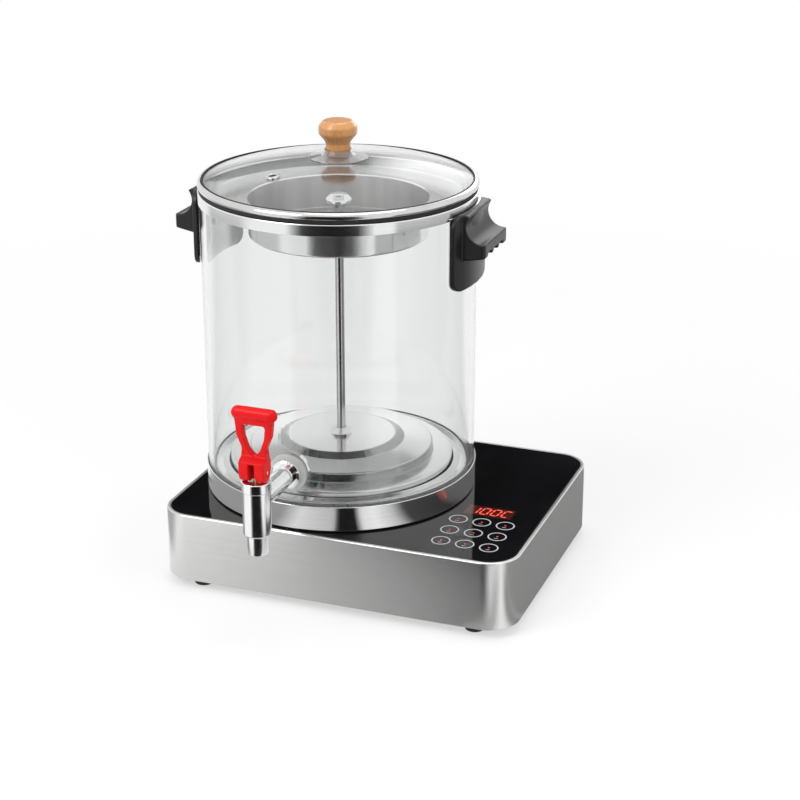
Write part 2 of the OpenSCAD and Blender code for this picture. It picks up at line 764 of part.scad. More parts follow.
module handle_screws() color("gray") at_pot() at_handle_screws() {
    translate([0, 0, -snug - handle_screw_head_t]) cylinder(r = handle_screw_head_r, h = handle_screw_head_t);
    translate([0, 0, -snug - handle_screw_head_t / 2]) cylinder(r = handle_screw_r, h = handle_screw_l);
}

// The tap

module tap_body() color("gainsboro") at_tap() difference() {
    union() {
        rotate_extrude() polygon([[0, spout_z], [spout_r - 0.6, spout_z], [spout_r, spout_z + 0.6],
            [spout_r, body_z], [tap_r - shoulder, body_z], [tap_r, body_z + shoulder], [tap_r, bonnet_z],
            [0, bonnet_z]]);
        // Shank, flange and threaded tail
        translate([0, 0, tap_z]) rotate([-90, 0, 0]) {
            cylinder(r = shank_r, h = tap_reach - pot_r - washer_t);
            translate([0, 0, tap_reach - pot_r - washer_t - tap_flange_t])
                cylinder(r = tap_flange_r, h = tap_flange_t, $fn = 12);
            cylinder(r = tail_r, h = tap_reach - tail_end);
        }
    }
    translate([0, 0, seat_z]) cylinder(r = chamber_r, h = bonnet_z);
    translate([0, 0, spout_z - past]) cylinder(r = spout_bore_r, h = seat_z);
    translate([0, 0, tap_z]) rotate([-90, 0, 0]) cylinder(r = inlet_r, h = tap_reach);
}

module tap_bonnet() color("gainsboro") at_tap() difference() {
    rotate_extrude() polygon([[0, bonnet_z], [bonnet_r - 0.5, bonnet_z], [bonnet_r, bonnet_z + 0.5],
        [bonnet_r, bonnet_top - 1], [bonnet_r - 1, bonnet_top], [0, bonnet_top]]);
    translate([0, 0, bonnet_z - past]) cylinder(r = stem_r + run_fit, h = bonnet_h + 2 * past);
}

// A ring on the tap's shank, from near to far as seen along the shank
module shank_ring(r_out, r_in, near, far) {
    translate([0, 0, tap_z]) rotate([-90, 0, 0]) translate([0, 0, tap_reach - near]) tube_shape(r_out, r_in, near - far);
}

module tap_outer_washer() color([0.9, 0.9, 0.9, 0.6]) at_pot() difference() {
    translate([0, -tap_reach, 0]) shank_ring(washer_r, tail_r + snug, pot_r + washer_t, pot_r - 3);
    translate([0, 0, tap_z - washer_r - past]) cylinder(r = pot_r + snug, h = 2 * (washer_r + past), $fn = 720);
}

module tap_inner_washer() color([0.9, 0.9, 0.9, 0.6]) at_pot() intersection() {
    translate([0, -tap_reach, 0]) shank_ring(nut_r, tail_r + snug, glass_in_r + 1, inner_seat);
    translate([0, 0, tap_z - washer_r - past]) cylinder(r = glass_in_r - snug, h = 2 * (washer_r + past), $fn = 720);
}

module tap_nut() color("gainsboro") at_tap() translate([0, 0, tap_z]) rotate([-90, 0, 0])
    translate([0, 0, tap_reach - inner_seat]) difference() {
        cylinder(r = nut_r, h = nut_t, $fn = 6);
        translate([0, 0, -past]) cylinder(r = tail_r + snug, h = nut_t + 2 * past);
    }

// The lever is drawn facing the front, with its pin at the origin
function both_sides(pts) = concat(pts, [for (i = [len(pts) - 1:-1:0]) [-pts[i][0], pts[i][1]]]);

module lever_face() {
    hole_side = [[hole_low_half, hole_z(0.21)], [hole_mid_half, hole_z(0.585)], [hole_top_half, hole_top_z]];
    difference() {
        polygon(both_sides([[fork_w / 2, fork_top - 4], [fork_w / 2, neck_top], [waist_half, waist_z],
            [arm_mid_half, waist_z + 0.4 * (arm_top_z - waist_z)], [arm_top_half, arm_top_z]]));
        polygon(rounded_loop(concat([[0, hole_low_z]], both_sides(hole_side)), hole_corner));
    }
}

module lever_fork_side() {
    difference() {
        union() {
            translate([-fork_front, 0]) square([fork_front + fork_back, fork_top]);
            polygon([[-fork_front, fork_top], [fork_back, fork_top], [loop_t / 2, neck_top - 3],
                [-loop_t / 2, neck_top - 3]]);
            translate([-cam_offset, 0]) circle(cam_r);
            translate([-cam_offset, -cam_r]) square([cam_r - 1, cam_r]);
        }
        // The corners under the pin follow the cam, so that the lever can tip forward and stand up again
        translate([-fork_front - past, -cam_r - past]) difference() {
            square([fork_front + past + fork_back, cam_r + past]);
            translate([fork_front + past - cam_offset, cam_r + past]) circle(cam_r);
        }
    }
}

module tap_lever() color("red") at_tap() translate([0, 0, pin_z]) difference() {
    union() {
        rotate([90, 0, 0]) linear_extrude(loop_t, center = true) lever_face();
        translate([-fork_w / 2, 0, 0]) rotate([90, 0, 90]) linear_extrude(fork_w) lever_fork_side();
        translate([0, 0, lever_l]) rotate([0, 90, 0]) cylinder(r = bar_r, h = bar_w - 2 * bar_r, center = true);
        for (x = [-1, 1]) translate([x * (bar_w / 2 - bar_r), 0, lever_l]) sphere(bar_r);
    }
    // Slot for the stem, open below and in front
    translate([-stem_r - slot_gap, -fork_front - past, -cam_r - past])
        cube([2 * (stem_r + slot_gap), fork_front + past + stem_r + slot_gap, cam_r + past]);
    translate([-stem_r - slot_gap, -fork_front - past, -past])
        cube([2 * (stem_r + slot_gap), fork_front + past, slot_top + past]);
    rotate([0, 90, 0]) cylinder(r = slot_r, h = 2 * (stem_r + slot_gap), center = true);
    rotate([0, 90, 0]) cylinder(r = pin_r + run_fit, h = fork_w + 2 * past, center = true);
}

module lever_pin() color("silver") at_tap() translate([0, 0, pin_z]) rotate([0, 90, 0])
    cylinder(r = pin_r, h = fork_w - 1, center = true);

module valve_stem() color("goldenrod") at_tap() difference() {
    translate([0, 0, stem_bottom]) cylinder(r = stem_r, h = stem_top - stem_bottom);
    translate([0, 0, pin_z]) rotate([0, 90, 0]) cylinder(r = pin_r + snug / 2, h = 3 * stem_r, center = true);
}

module valve_cup() color([0.85, 0.85, 0.85]) at_tap() difference() {
    rotate_extrude() polygon([[0, cup_z], [cup_r - 1, cup_z], [cup_r, cup_z + 1], [cup_r, cup_z + cup_h - 2],
        [cup_r - 2, cup_z + cup_h], [0, cup_z + cup_h]]);
    translate([0, 0, stem_bottom]) cylinder(r = stem_r + snug / 2, h = cup_h);
}

// A coil of round wire: rings of points along a helix, joined by triangles
module helix(r, wire_r, low, high, turns, steps = 10, sides = 6) {
    rings = turns * steps;
    function ring_point(i, j) =
        let (a = 360 * i / steps, b = 360 * j / sides, q = r + wire_r * cos(b))
        [q * cos(a), q * sin(a), low + (high - low) * i / rings + wire_r * sin(b)];
    points = [for (i = [0:rings], j = [0:sides - 1]) ring_point(i, j)];
    skin = [for (i = [0:rings - 1], j = [0:sides - 1])
        let (a = i * sides + j, b = i * sides + (j + 1) % sides)
        each [[a, b, a + sides], [b, b + sides, a + sides]]];
    ends = [[for (j = [sides - 1:-1:0]) j], [for (j = [0:sides - 1]) rings * sides + j]];
    polyhedron(points, concat(skin, ends));
}

module valve_spring() color("silver") at_tap()
    helix(spring_r, spring_wire_r, spring_low, spring_high, spring_turns);

// The brewing set

// The basket's wall, its flange with a bend at each edge, and its rim are welded end to end
module tea_basket() color("lightgray") at_pot() translate([0, 0, basket_z])
    tube_shape(basket_r, basket_r - basket_t, basket_h - basket_bend);

module basket_flange() color("lightgray") at_pot() rotate_extrude()
    sheet(rounded_path([[basket_dish_r, basket_flange_z + basket_bend], [basket_dish_r, basket_flange_z],
        [basket_r, basket_flange_z], [basket_r, basket_flange_z - basket_bend]], 1.2 * basket_t, 3), -basket_t);

module basket_rim() color("lightgray") at_pot() rotate_extrude()
    sheet(rounded_path([[basket_lip_r, basket_lip_z], [basket_dish_r, basket_lip_z],
        [basket_dish_r, basket_flange_z + basket_bend]], 1.2 * basket_t, 3), -basket_t);

module basket_sieve() color("silver") at_pot() translate([0, 0, sieve_z]) linear_extrude(sieve_t) difference() {
    circle(basket_r);
    circle(tube_r + snug);
    rows = floor((basket_r - sieve_edge) / sieve_pitch);
    for (i = [-rows:rows], j = [-rows:rows]) {
        p = [i + j / 2, j * sqrt(3) / 2] * sieve_pitch;
        if (norm(p) > tube_r + 2 * sieve_hole_r + 1 && norm(p) < basket_r - sieve_edge - sieve_hole_r - 1)
            translate(p) circle(sieve_hole_r, $fn = 24);
    }
}

module riser_tube() color("silver") at_pot() translate([0, 0, bell_top_z - bell_t])
    tube_shape(tube_r, tube_r - tube_wall, tube_top - bell_top_z + bell_t);

module riser_bell() color("whitesmoke") at_pot() difference() {
    union() {
        rotate_extrude()
            sheet(rounded_path([[0, bell_top_z], [bell_top_r, bell_top_z], [bell_top_r + 8, bell_step_z + 2.5],
                [bell_step_r, bell_step_z], [bell_step_r, bell_shoulder_z + 0.5], [bell_r, bell_shoulder_z],
                [bell_r, bell_rim_z]], 1.5, 3), -bell_t);
        translate([0, 0, bell_top_z - bell_t / 2]) cylinder(r1 = bell_hub_r + 3, r2 = bell_hub_r, h = bell_hub_h);
    }
    translate([0, 0, bell_top_z - 2 * bell_t]) cylinder(r = tube_r + snug, h = 3 * bell_hub_h);
    // Water runs in under the rim
    for (i = [0:bell_notches - 1]) rotate((i + 0.5) * 360 / bell_notches)
        translate([bell_r - 4 * bell_t, -bell_notch_w / 2, bell_rim_z - past])
            cube([8 * bell_t, bell_notch_w, bell_notch_h + past]);
}

module spray_cap() color("gainsboro") at_pot() difference() {
    union() {
        translate([0, 0, cap_stem_z]) cylinder(r = cap_stem_r, h = cap_dome_z - cap_stem_z + 1);
        // The dome is a slice of a ball
        ball_r = (cap_r * cap_r + cap_dome_h * cap_dome_h) / (2 * cap_dome_h);
        translate([0, 0, cap_dome_z]) rotate_extrude() intersection() {
            translate([0, cap_dome_h - ball_r]) circle(ball_r);
            square([cap_r, cap_dome_h]);
        }
    }
    translate([0, 0, cap_stem_z - past]) cylinder(r = tube_r + snug / 2, h = cap_dome_z - cap_stem_z + past - 1);
    // Windows that the water sprays out of
    for (turn = [0, 90]) rotate(turn)
        translate([-cap_r, -cap_window_w / 2, tube_top + 0.5])
            cube([2 * cap_r, cap_window_w, cap_dome_z - tube_top - 1.5]);
}

// The lid

module dome_slice(r_out, r_in, reach) {
    difference() {
        intersection() {
            translate([0, dome_z]) circle(r_out, $fn = 720);
            translate([0, rim_z - 20]) square([reach, dome_top - rim_z + 40]);
        }
        translate([0, dome_z]) circle(r_in, $fn = 720);
    }
}

module at_vent() at_pot() translate([0, 0, dome_z]) rotate(vent_turn) rotate([0, vent_tilt, 0])
    translate([0, 0, dome_r]) children();

module lid_glass() color([0.85, 0.93, 0.95, 0.3]) difference() {
    at_pot() rotate_extrude() dome_slice(dome_r, dome_r - lid_t, lid_glass_r);
    at_pot() translate([0, 0, dome_top - 2 * lid_t]) cylinder(r = knob_screw_r + fit, h = 3 * lid_t);
    at_vent() translate([0, 0, -2 * lid_t]) cylinder(r = vent_bore_r + vent_wall + snug, h = 3 * lid_t);
}

module lid_rim() color("silver") at_pot() rotate_extrude() difference() {
    translate([rim_r - rim_w / 2, rim_z + rim_h / 2]) rounded_rect(rim_w, rim_h, rim_edge_r);
    dome_slice(dome_r + snug, dome_r - lid_t - snug, lid_glass_r + snug);
}

module lid_gasket() color([0.05, 0.05, 0.05]) at_pot() rotate_extrude()
    translate([basket_lip_r + 0.8, gasket_z]) square([rim_r - basket_lip_r - 1.4, gasket_h]);

module lid_knob() color("burlywood") at_pot() translate([0, 0, knob_z]) difference() {
    rotate_extrude() polygon(rounded_path([[0, knob_h], [knob_r - 3.2, knob_h - 0.4], [knob_r + 0.3, 0.66 * knob_h],
        [knob_r - 1.4, 0.45 * knob_h], [knob_neck_r, 0.3 * knob_h], [knob_neck_r, 0], [0, 0]], 1.5, 4));
    translate([0, 0, -past]) cylinder(r = knob_screw_r + snug / 2, h = knob_hole + past);
}

module knob_plate() color([0.9, 0.9, 0.88]) at_pot() difference() {
    rotate_extrude() difference() {
        polygon([[0, knob_z], [knob_neck_r + 1.5, knob_z], [knob_neck_r + 4.5, dome_top + 0.4 * knob_plate_h],
            [knob_plate_r, dome_top - 0.2 * lid_t + 1],
            [knob_plate_r, dome_top - lid_t], [0, dome_top - lid_t]]);
        translate([0, dome_z]) circle(dome_r + snug, $fn = 720);
    }
    translate([0, 0, dome_top - lid_t]) cylinder(r = knob_screw_r + fit, h = knob_plate_h + 2 * lid_t);
}

module knob_screw() color("silver") at_pot() {
    under = dome_top - lid_t - snug;
    translate([0, 0, under - knob_screw_head_h]) cylinder(r = knob_screw_head_r, h = knob_screw_head_h);
    translate([0, 0, under - 1]) cylinder(r = knob_screw_r, h = knob_z + knob_hole - 1 - under + 1);
}

module vent_eyelet() color("silver") at_vent() difference() {
    union() {
        translate([0, 0, -lid_t - vent_flange_t]) cylinder(r = vent_bore_r + vent_wall, h = lid_t + 2 * vent_flange_t);
        translate([0, 0, snug]) cylinder(r = vent_flange_r, h = vent_flange_t);
        translate([0, 0, -lid_t - snug - vent_flange_t]) cylinder(r = vent_flange_r, h = vent_flange_t);
    }
    translate([0, 0, -2 * lid_t]) cylinder(r = vent_bore_r, h = 3 * lid_t);
}

base_housing();
glass_top_plate();
base_bottom_plate();
rubber_feet();
bottom_screws();
heater_dish();
heater_coil();
heat_limiter();
heater_bracket();
control_board();
display_module();
touch_key_springs();
fan_frame();
fan_rotor();
cord_gland();
glass_cylinder();
bottom_band();
bottom_pan();
heat_disc();
bottom_seal();
top_ring();
ring_seal();
left_handle();
right_handle();
handle_screws();
tap_body();
tap_bonnet();
tap_outer_washer();
tap_inner_washer();
tap_nut();
tap_lever();
lever_pin();
valve_stem();
valve_cup();
valve_spring();
tea_basket();
basket_flange();
basket_rim();
basket_sieve();
riser_tube();
riser_bell();
spray_cap();
lid_glass();
lid_rim();
lid_gasket();
lid_knob();
knob_plate();
knob_screw();
vent_eyelet();
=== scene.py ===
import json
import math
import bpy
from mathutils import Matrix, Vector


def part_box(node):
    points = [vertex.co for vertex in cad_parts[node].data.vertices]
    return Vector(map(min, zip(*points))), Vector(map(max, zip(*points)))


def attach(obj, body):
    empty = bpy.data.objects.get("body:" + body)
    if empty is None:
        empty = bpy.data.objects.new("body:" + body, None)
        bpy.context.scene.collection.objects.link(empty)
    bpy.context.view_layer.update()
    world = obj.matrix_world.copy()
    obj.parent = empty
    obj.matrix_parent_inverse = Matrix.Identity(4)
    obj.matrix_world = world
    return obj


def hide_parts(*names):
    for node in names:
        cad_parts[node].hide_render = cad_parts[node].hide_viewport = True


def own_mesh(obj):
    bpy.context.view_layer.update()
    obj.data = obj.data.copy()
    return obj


bl_info = {
    "name": "Electric tea boiler",
    "version": (1, 0, 0),
    "blender": (4, 5, 0),
    "location": "3D View > Sidebar > Tea boiler",
    "description": "Dresses the tea boiler's frame in steel, glass, wood and plastic, and sets its stage",
    "category": "Object",
}

import bmesh
import bpy
from mathutils import Matrix, Vector

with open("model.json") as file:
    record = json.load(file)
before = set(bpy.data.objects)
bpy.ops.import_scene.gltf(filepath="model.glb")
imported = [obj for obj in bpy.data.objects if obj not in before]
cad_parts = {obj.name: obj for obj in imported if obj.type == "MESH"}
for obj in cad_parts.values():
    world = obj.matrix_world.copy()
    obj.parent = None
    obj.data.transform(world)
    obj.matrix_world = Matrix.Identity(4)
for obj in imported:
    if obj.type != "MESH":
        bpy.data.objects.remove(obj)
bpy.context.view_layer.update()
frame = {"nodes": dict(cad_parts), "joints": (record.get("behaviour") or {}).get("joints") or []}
MM = 0.001
FULL_TURN = 2 * math.pi

# Points of a mesh that lie closer than this are one point
WELD = 1e-6

# Steps of the turned pieces about the pot's axis and about the tap's
POT_STEPS = 192
TAP_STEPS = 96

# Places that every piece is set out from: the pot's axis, the hot plate's top and the tap's axis
glass_low, glass_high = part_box("glass_cylinder")
plate_low, plate_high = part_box("glass_top_plate")
bonnet_low, bonnet_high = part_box("tap_bonnet")
panel_low, panel_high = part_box("display_module")
key_low, key_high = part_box("touch_key_springs")
gland_low, gland_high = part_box("cord_gland")
housing_low, housing_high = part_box("base_housing")
washer_low, washer_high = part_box("tap_outer_washer")
POT = Vector(((glass_low.x + glass_high.x) / 2, (glass_low.y + glass_high.y) / 2, plate_high.z))
TAP = Vector(((bonnet_low.x + bonnet_high.x) / 2, (bonnet_low.y + bonnet_high.y) / 2, plate_high.z))
SHANK_RISE = (washer_low.z + washer_high.z) / 2 - plate_high.z

# Sizes in millimetres that a piece shares with its finish or with another piece
GLASS_R = 120.0
BAND_R = 121.4
BASKET_R = 78.5
BASKET_SHEET = 0.8
SIEVE_R = 76.4
BELL_R = 100.0
BELL_SIDE_R = 82.5
BELL_STEP_TOP_R = 49.0
BELL_STEP_FOOT_R = 57.0


# Shader trees written as Python expressions


class Wire:
    """A shader socket that takes part in Python expressions, which add Math nodes."""

    def __init__(self, finish, socket):
        self.finish = finish
        self.socket = socket

    def _math(self, operation, first, second):
        return self.finish.node("ShaderNodeMath", {"operation": operation}, {0: first, 1: second})

    def __add__(self, other):
        return self._math("ADD", self, other)

    def __radd__(self, other):
        return self._math("ADD", other, self)

    def __sub__(self, other):
        return self._math("SUBTRACT", self, other)

    def __rsub__(self, other):
        return self._math("SUBTRACT", other, self)

    def __mul__(self, other):
        return self._math("MULTIPLY", self, other)

    def __truediv__(self, other):
        return self._math("DIVIDE", self, other)

    def __pow__(self, other):
        return self._math("POWER", self, other)

    def clamped(self, low, high):
        sockets = {"Value": self, "Min": low, "Max": high}
        return self.finish.node("ShaderNodeClamp", {}, sockets)


class Finish:
    """A material or world and the nodes that make it."""

    def __init__(self, owner):
        self.owner = owner
        owner.use_nodes = True
        self.tree = owner.node_tree
        self.tree.nodes.clear()

    def node(self, kind, settings=None, sockets=None, output=0):
        """Adds a node, sets it up, fills or links its sockets, and gives one of its outputs."""
        made = self.tree.nodes.new(kind)
        for key, value in (settings or {}).items():
            if key == "stops":
                ramp = made.color_ramp
                while len(ramp.elements) < len(value):
                    ramp.elements.new(0.5)
                for element, (place, colour) in zip(ramp.elements, value):
                    element.position = place
                    element.color = (*colour, 1.0)
            else:
                setattr(made, key, value)
        for key, value in (sockets or {}).items():
            if isinstance(value, Wire):
                self.tree.links.new(value.socket, made.inputs[key])
            else:
                made.inputs[key].default_value = value
        return Wire(self, made.outputs[output]) if made.outputs else None

    def coordinate(self, axis):
        """One coordinate of the point on the object: X, Y or Z."""
        point = self.node("ShaderNodeTexCoord", {}, {}, "Object")
        return self.node("ShaderNodeSeparateXYZ", {}, {0: point}, axis)

    def place(self, stretch=(1.0, 1.0, 1.0)):
        """The point on the object, stretched for a pattern."""
        point = self.node("ShaderNodeTexCoord", {}, {}, "Object")
        return self.node("ShaderNodeMapping", {}, {"Vector": point, "Scale": stretch})

    def noise(self, scale, detail=2.0, stretch=(1.0, 1.0, 1.0)):
        sockets = {"Vector": self.place(stretch), "Scale": scale, "Detail": detail}
        return self.node("ShaderNodeTexNoise", {}, sockets)

    def from_axis(self, centre):
        """The distance of the point from an upright line."""
        across = self.coordinate("X") - centre.x
        along = self.coordinate("Y") - centre.y
        return (across * across + along * along) ** 0.5

    def ramp(self, value, *stops):
        """A colour that follows a value, from stops of (place, colour)."""
        return self.node("ShaderNodeValToRGB", {"stops": stops}, {"Fac": value})

    def bump(self, height, strength, distance):
        sockets = {"Height": height, "Strength": strength, "Distance": distance}
        return self.node("ShaderNodeBump", {}, sockets)

    def principled(self, **sockets):
        """Ends the material with a shader whose sockets are named with underscores for spaces."""
        named = {key.replace("_", " "): value for key, value in sockets.items()}
        shader = self.node("ShaderNodeBsdfPrincipled", {}, named)
        self.node("ShaderNodeOutputMaterial", {}, {"Surface": shader})
        return self.owner


def new_finish(name):
    return Finish(bpy.data.materials.new(name))


def scaled(value, factor):
    """A colour made darker or lighter, up to full."""
    return tuple(min(1.0, channel * factor) for channel in value[:3])


# Finishes, one function each; a finish is made once and shared


FINISHES = {}


def finish_of(make):
    """The material that a finish function makes, made at its first use."""
    name = make.__name__
    if name not in FINISHES:
        FINISHES[name] = make(new_finish(name), bpy.context.scene.tea_boiler_colours)
    return FINISHES[name]


def brushed_steel(f, hues):
    """Sheet brushed along the wrap: fine level lines with slow changes of tone."""
    lines = f.noise(1.0, 3.0, (5.0, 5.0, 3600.0))
    clouds = f.noise(14.0, 3.0)
    tone = f.ramp(lines, (0.25, scaled(hues.steel, 0.94)), (0.75, scaled(hues.steel, 1.03)))
    rough = 0.20 + lines * 0.04 + clouds * 0.03
    return f.principled(
        Base_Color=tone, Metallic=1.0, Roughness=rough, Anisotropic=0.8, Anisotropic_Rotation=0.25,
        Normal=f.bump(lines, 0.05, 0.00004)
    )


def polished_steel(f, hues):
    """Mirror-polished sheet with faint polishing lines and cloudy wiping marks."""
    lines = f.noise(1.0, 2.0, (20.0, 20.0, 1500.0))
    clouds = f.noise(22.0, 4.0)
    tone = f.ramp(clouds, (0.3, scaled(hues.bright_steel, 0.96)), (0.7, hues.bright_steel))
    rough = 0.05 + lines * 0.04 + clouds * 0.03
    return f.principled(
        Base_Color=tone, Metallic=1.0, Roughness=rough, Normal=f.bump(lines, 0.03, 0.00003)
    )


def drawn_metal(f, dark, light, polish):
    """Metal turned or drawn along an upright axis: reflections smear a little across its level lines."""
    lines = f.noise(1.0, 2.0, (20.0, 20.0, 2200.0))
    clouds = f.noise(40.0, 3.0)
    tone = f.ramp(clouds, (0.3, dark), (0.7, light))
    rough = polish + lines * 0.02 + clouds * 0.015
    return f.principled(
        Base_Color=tone, Metallic=1.0, Roughness=rough, Anisotropic=0.9, Anisotropic_Rotation=0.25
    )


def turned_chrome(f, hues):
    """Chrome on the tap's turned shapes."""
    return drawn_metal(f, scaled(hues.bright_steel, 0.96), hues.bright_steel, 0.11)


def pipe_steel(f, hues):
    """Drawn tube and rolled rim, greyer than the polished sheet."""
    return drawn_metal(f, scaled(hues.steel, 0.86), scaled(hues.steel, 0.94), 0.10)


def ring_steel(f, hues):
    """Polished bands rolled round the pot, with fine level lines."""
    lines = f.noise(1.0, 3.0, (6.0, 6.0, 2600.0))
    clouds = f.noise(18.0, 3.0)
    tone = f.ramp(lines, (0.3, scaled(hues.bright_steel, 0.88)), (0.7, scaled(hues.bright_steel, 0.95)))
    rough = 0.13 + lines * 0.012 + clouds * 0.02
    return f.principled(
        Base_Color=tone, Metallic=1.0, Roughness=rough, Anisotropic=0.85, Anisotropic_Rotation=0.25
    )


def basket_steel(f, hues):
    """Drawn sheet: polished outside; satin inside, painted darker as shade and darkest on the floor, with
    wall streaks that are part drawing marks, part painted reflection.
    """
    lines = f.noise(1.0, 3.0, (6.0, 6.0, 2600.0))
    clouds = f.noise(18.0, 3.0)
    streaks_and_painted_reflection = f.noise(1.0, 2.0, (45.0, 45.0, 3.0))
    reach = f.from_axis(POT)
    wall = (BASKET_R - BASKET_SHEET / 2) * MM
    edge = (SIEVE_R + BASKET_SHEET / 2) * MM
    steepness = 2500.0
    inside = ((wall - reach) * steepness).clamped(0.0, 1.0)
    floor = ((edge - reach) * steepness).clamped(0.0, 1.0)
    marks = lines * (1 - inside) + streaks_and_painted_reflection * inside * (1 - floor)
    # Painted shade: the inside wall and the floor take darker tones than the outside, the floor the darkest;
    # the wall's streaks are partly drawing marks and partly painted reflection
    tone = f.ramp(
        marks * 0.25 + inside * 0.75,
        (0.0, scaled(hues.bright_steel, 0.94)), (0.25, hues.bright_steel),
        (0.75, scaled(hues.steel, 0.55)), (0.82, scaled(hues.steel, 0.72)), (0.92, scaled(hues.steel, 1.1)))
    rough = 0.17 + lines * 0.012 + clouds * 0.02 + inside * 0.24
    return f.principled(
        Base_Color=tone, Metallic=1.0, Roughness=rough, Anisotropic=0.85, Anisotropic_Rotation=0.25
    )


def spun_steel(f, hues):
    """Pressed and spun sheet: fine rings about the pot's axis, and painted shade on the bell's sloping step
    and on a ring at its upright side.
    """
    reach = f.from_axis(POT)
    sockets = {"W": reach, "Scale": 1400.0, "Detail": 3.0}
    rings = f.node("ShaderNodeTexNoise", {"noise_dimensions": "1D"}, sockets)
    clouds = f.noise(18.0, 3.0)
    flat = scaled(hues.bright_steel, 0.87)
    # Painted shade: the slope from the top disc to the shoulder, and a narrow ring at the upright side, are
    # painted darker than the flats
    painted_step_shade = scaled(hues.bright_steel, 0.42)
    stops = [
        (BELL_STEP_TOP_R - 1.2, flat), (BELL_STEP_TOP_R + 0.8, painted_step_shade),
        (BELL_STEP_FOOT_R - 0.8, painted_step_shade), (BELL_STEP_FOOT_R + 0.5, flat),
        (BELL_SIDE_R - 1.7, flat), (BELL_SIDE_R - 0.3, painted_step_shade),
        (BELL_SIDE_R + 0.4, painted_step_shade), (BELL_SIDE_R + 0.9, flat),
    ]
    tone = f.ramp(reach / (BELL_R * MM), *[(radius / BELL_R, shade) for radius, shade in stops])
    rough = 0.12 + rings * 0.05 + clouds * 0.03
    return f.principled(
        Base_Color=tone, Metallic=1.0, Roughness=rough, Anisotropic=0.6, Anisotropic_Rotation=0.25,
        Normal=f.bump(rings, 0.05, 0.00003)
    )


def clear_glass(f, hues):
    """Clear glass with the faintest wiping marks."""
    marks = f.noise(30.0, 4.0)
    rough = ((marks - 0.62) * 0.10).clamped(0.0, 0.02)
    return f.principled(
        Base_Color=(*hues.glass, 1.0), Roughness=rough, IOR=1.47, Transmission_Weight=1.0
    )


def black_glass(f, hues):
    """Black ceramic glass, glossy, with slight wiping marks."""
    marks = f.noise(26.0, 5.0)
    tone = f.ramp(marks, (0.35, scaled(hues.black_glass, 0.8)), (0.75, scaled(hues.black_glass, 1.25)))
    rough = 0.035 + marks * 0.05
    return f.principled(Base_Color=tone, Roughness=rough, Specular_IOR_Level=0.35)


def black_plastic(f, hues):
    """Moulded plastic with a fine spark-eroded grain."""
    grain = f.noise(2600.0, 2.0)
    clouds = f.noise(40.0, 3.0)
    tone = f.ramp(clouds, (0.3, scaled(hues.black_plastic, 0.85)), (0.7, scaled(hues.black_plastic, 1.2)))
    rough = 0.27 + clouds * 0.08 + grain * 0.05
    return f.principled(
        Base_Color=tone, Roughness=rough, Specular_IOR_Level=0.34, Normal=f.bump(grain, 0.12, 0.00005)
    )


def red_plastic(f, hues):
    """Glossy red moulding with slight sink and flow marks."""
    clouds = f.noise(60.0, 3.0)
    grain = f.noise(900.0, 2.0)
    tone = f.ramp(clouds, (0.3, scaled(hues.lever_red, 0.88)), (0.7, hues.lever_red))
    rough = 0.30 + clouds * 0.10
    return f.principled(
        Base_Color=tone, Roughness=rough, Specular_IOR_Level=0.12, Coat_Weight=0.12, Coat_Roughness=0.08,
        Normal=f.bump(grain + clouds * 3.0, 0.04, 0.0001)
    )


def beech(f, hues):
    """Lacquered beech: wavering grain lines, short darker flecks and pores."""
    sway = f.noise(30.0, 2.0, (1.0, 1.0, 0.35))
    grain = f.node("ShaderNodeTexNoise", {},
                   {"Vector": f.place((1.0, 0.5, 0.12)), "Scale": 420.0, "Detail": 5.0, "Distortion": 0.6})
    flecks = f.node("ShaderNodeTexVoronoi", {},
                    {"Vector": f.place((1.0, 1.0, 0.22)), "Scale": 650.0}, "Distance")
    fleck = (0.30 - flecks).clamped(0.0, 0.3)
    mixed = grain * 0.65 + sway * 0.5 - fleck * 0.9
    tone = f.ramp(mixed, (0.30, hues.wood_dark), (0.55, hues.wood), (0.8, scaled(hues.wood, 1.15)))
    rough = 0.30 + grain * 0.12
    return f.principled(
        Base_Color=tone, Roughness=rough, Coat_Weight=0.5, Coat_Roughness=0.12,
        Normal=f.bump(grain - fleck * 2.0, 0.08, 0.00015)
    )


def black_rubber(f, hues):
    """Dull black rubber with a powdery bloom."""
    bloom = f.noise(120.0, 5.0)
    tone = f.ramp(bloom, (0.3, scaled(hues.rubber, 0.8)), (0.75, scaled(hues.rubber, 1.7)))
    return f.principled(
        Base_Color=tone, Roughness=0.55 + bloom * 0.2, Normal=f.bump(f.noise(1800.0), 0.12, 0.00005)
    )


def clear_silicone(f, hues):
    """Milky silicone that lets light through."""
    milk = f.noise(90.0, 3.0)
    tone = f.ramp(milk, (0.3, scaled(hues.silicone, 0.93)), (0.7, hues.silicone))
    return f.principled(
        Base_Color=tone, Roughness=0.22 + milk * 0.15, IOR=1.41, Transmission_Weight=0.5
    )


def knob_collar(f, hues):
    """Clear moulded plastic, slightly smoky."""
    smoke = f.noise(70.0, 3.0)
    tone = f.ramp(smoke, (0.3, scaled(hues.silicone, 0.95)), (0.7, hues.silicone))
    return f.principled(
        Base_Color=tone, Roughness=0.04 + smoke * 0.05, IOR=1.46, Transmission_Weight=0.92
    )


def panel_print(f, hues):
    """White print on the glass."""
    speckle = f.noise(3000.0, 2.0)
    tone = f.ramp(speckle, (0.3, (0.50, 0.51, 0.52)), (0.7, (0.64, 0.65, 0.66)))
    return f.principled(Base_Color=tone, Roughness=0.35 + speckle * 0.1)


def glowing(f, dark, rough, flicker, low, high, strength):
    """A red light: its own dark colour, and a glow that flickers between two tones."""
    glow = f.ramp(flicker, (0.3, low), (0.8, high))
    return f.principled(
        Base_Color=(*dark, 1.0), Roughness=rough, Emission_Color=glow, Emission_Strength=strength
    )


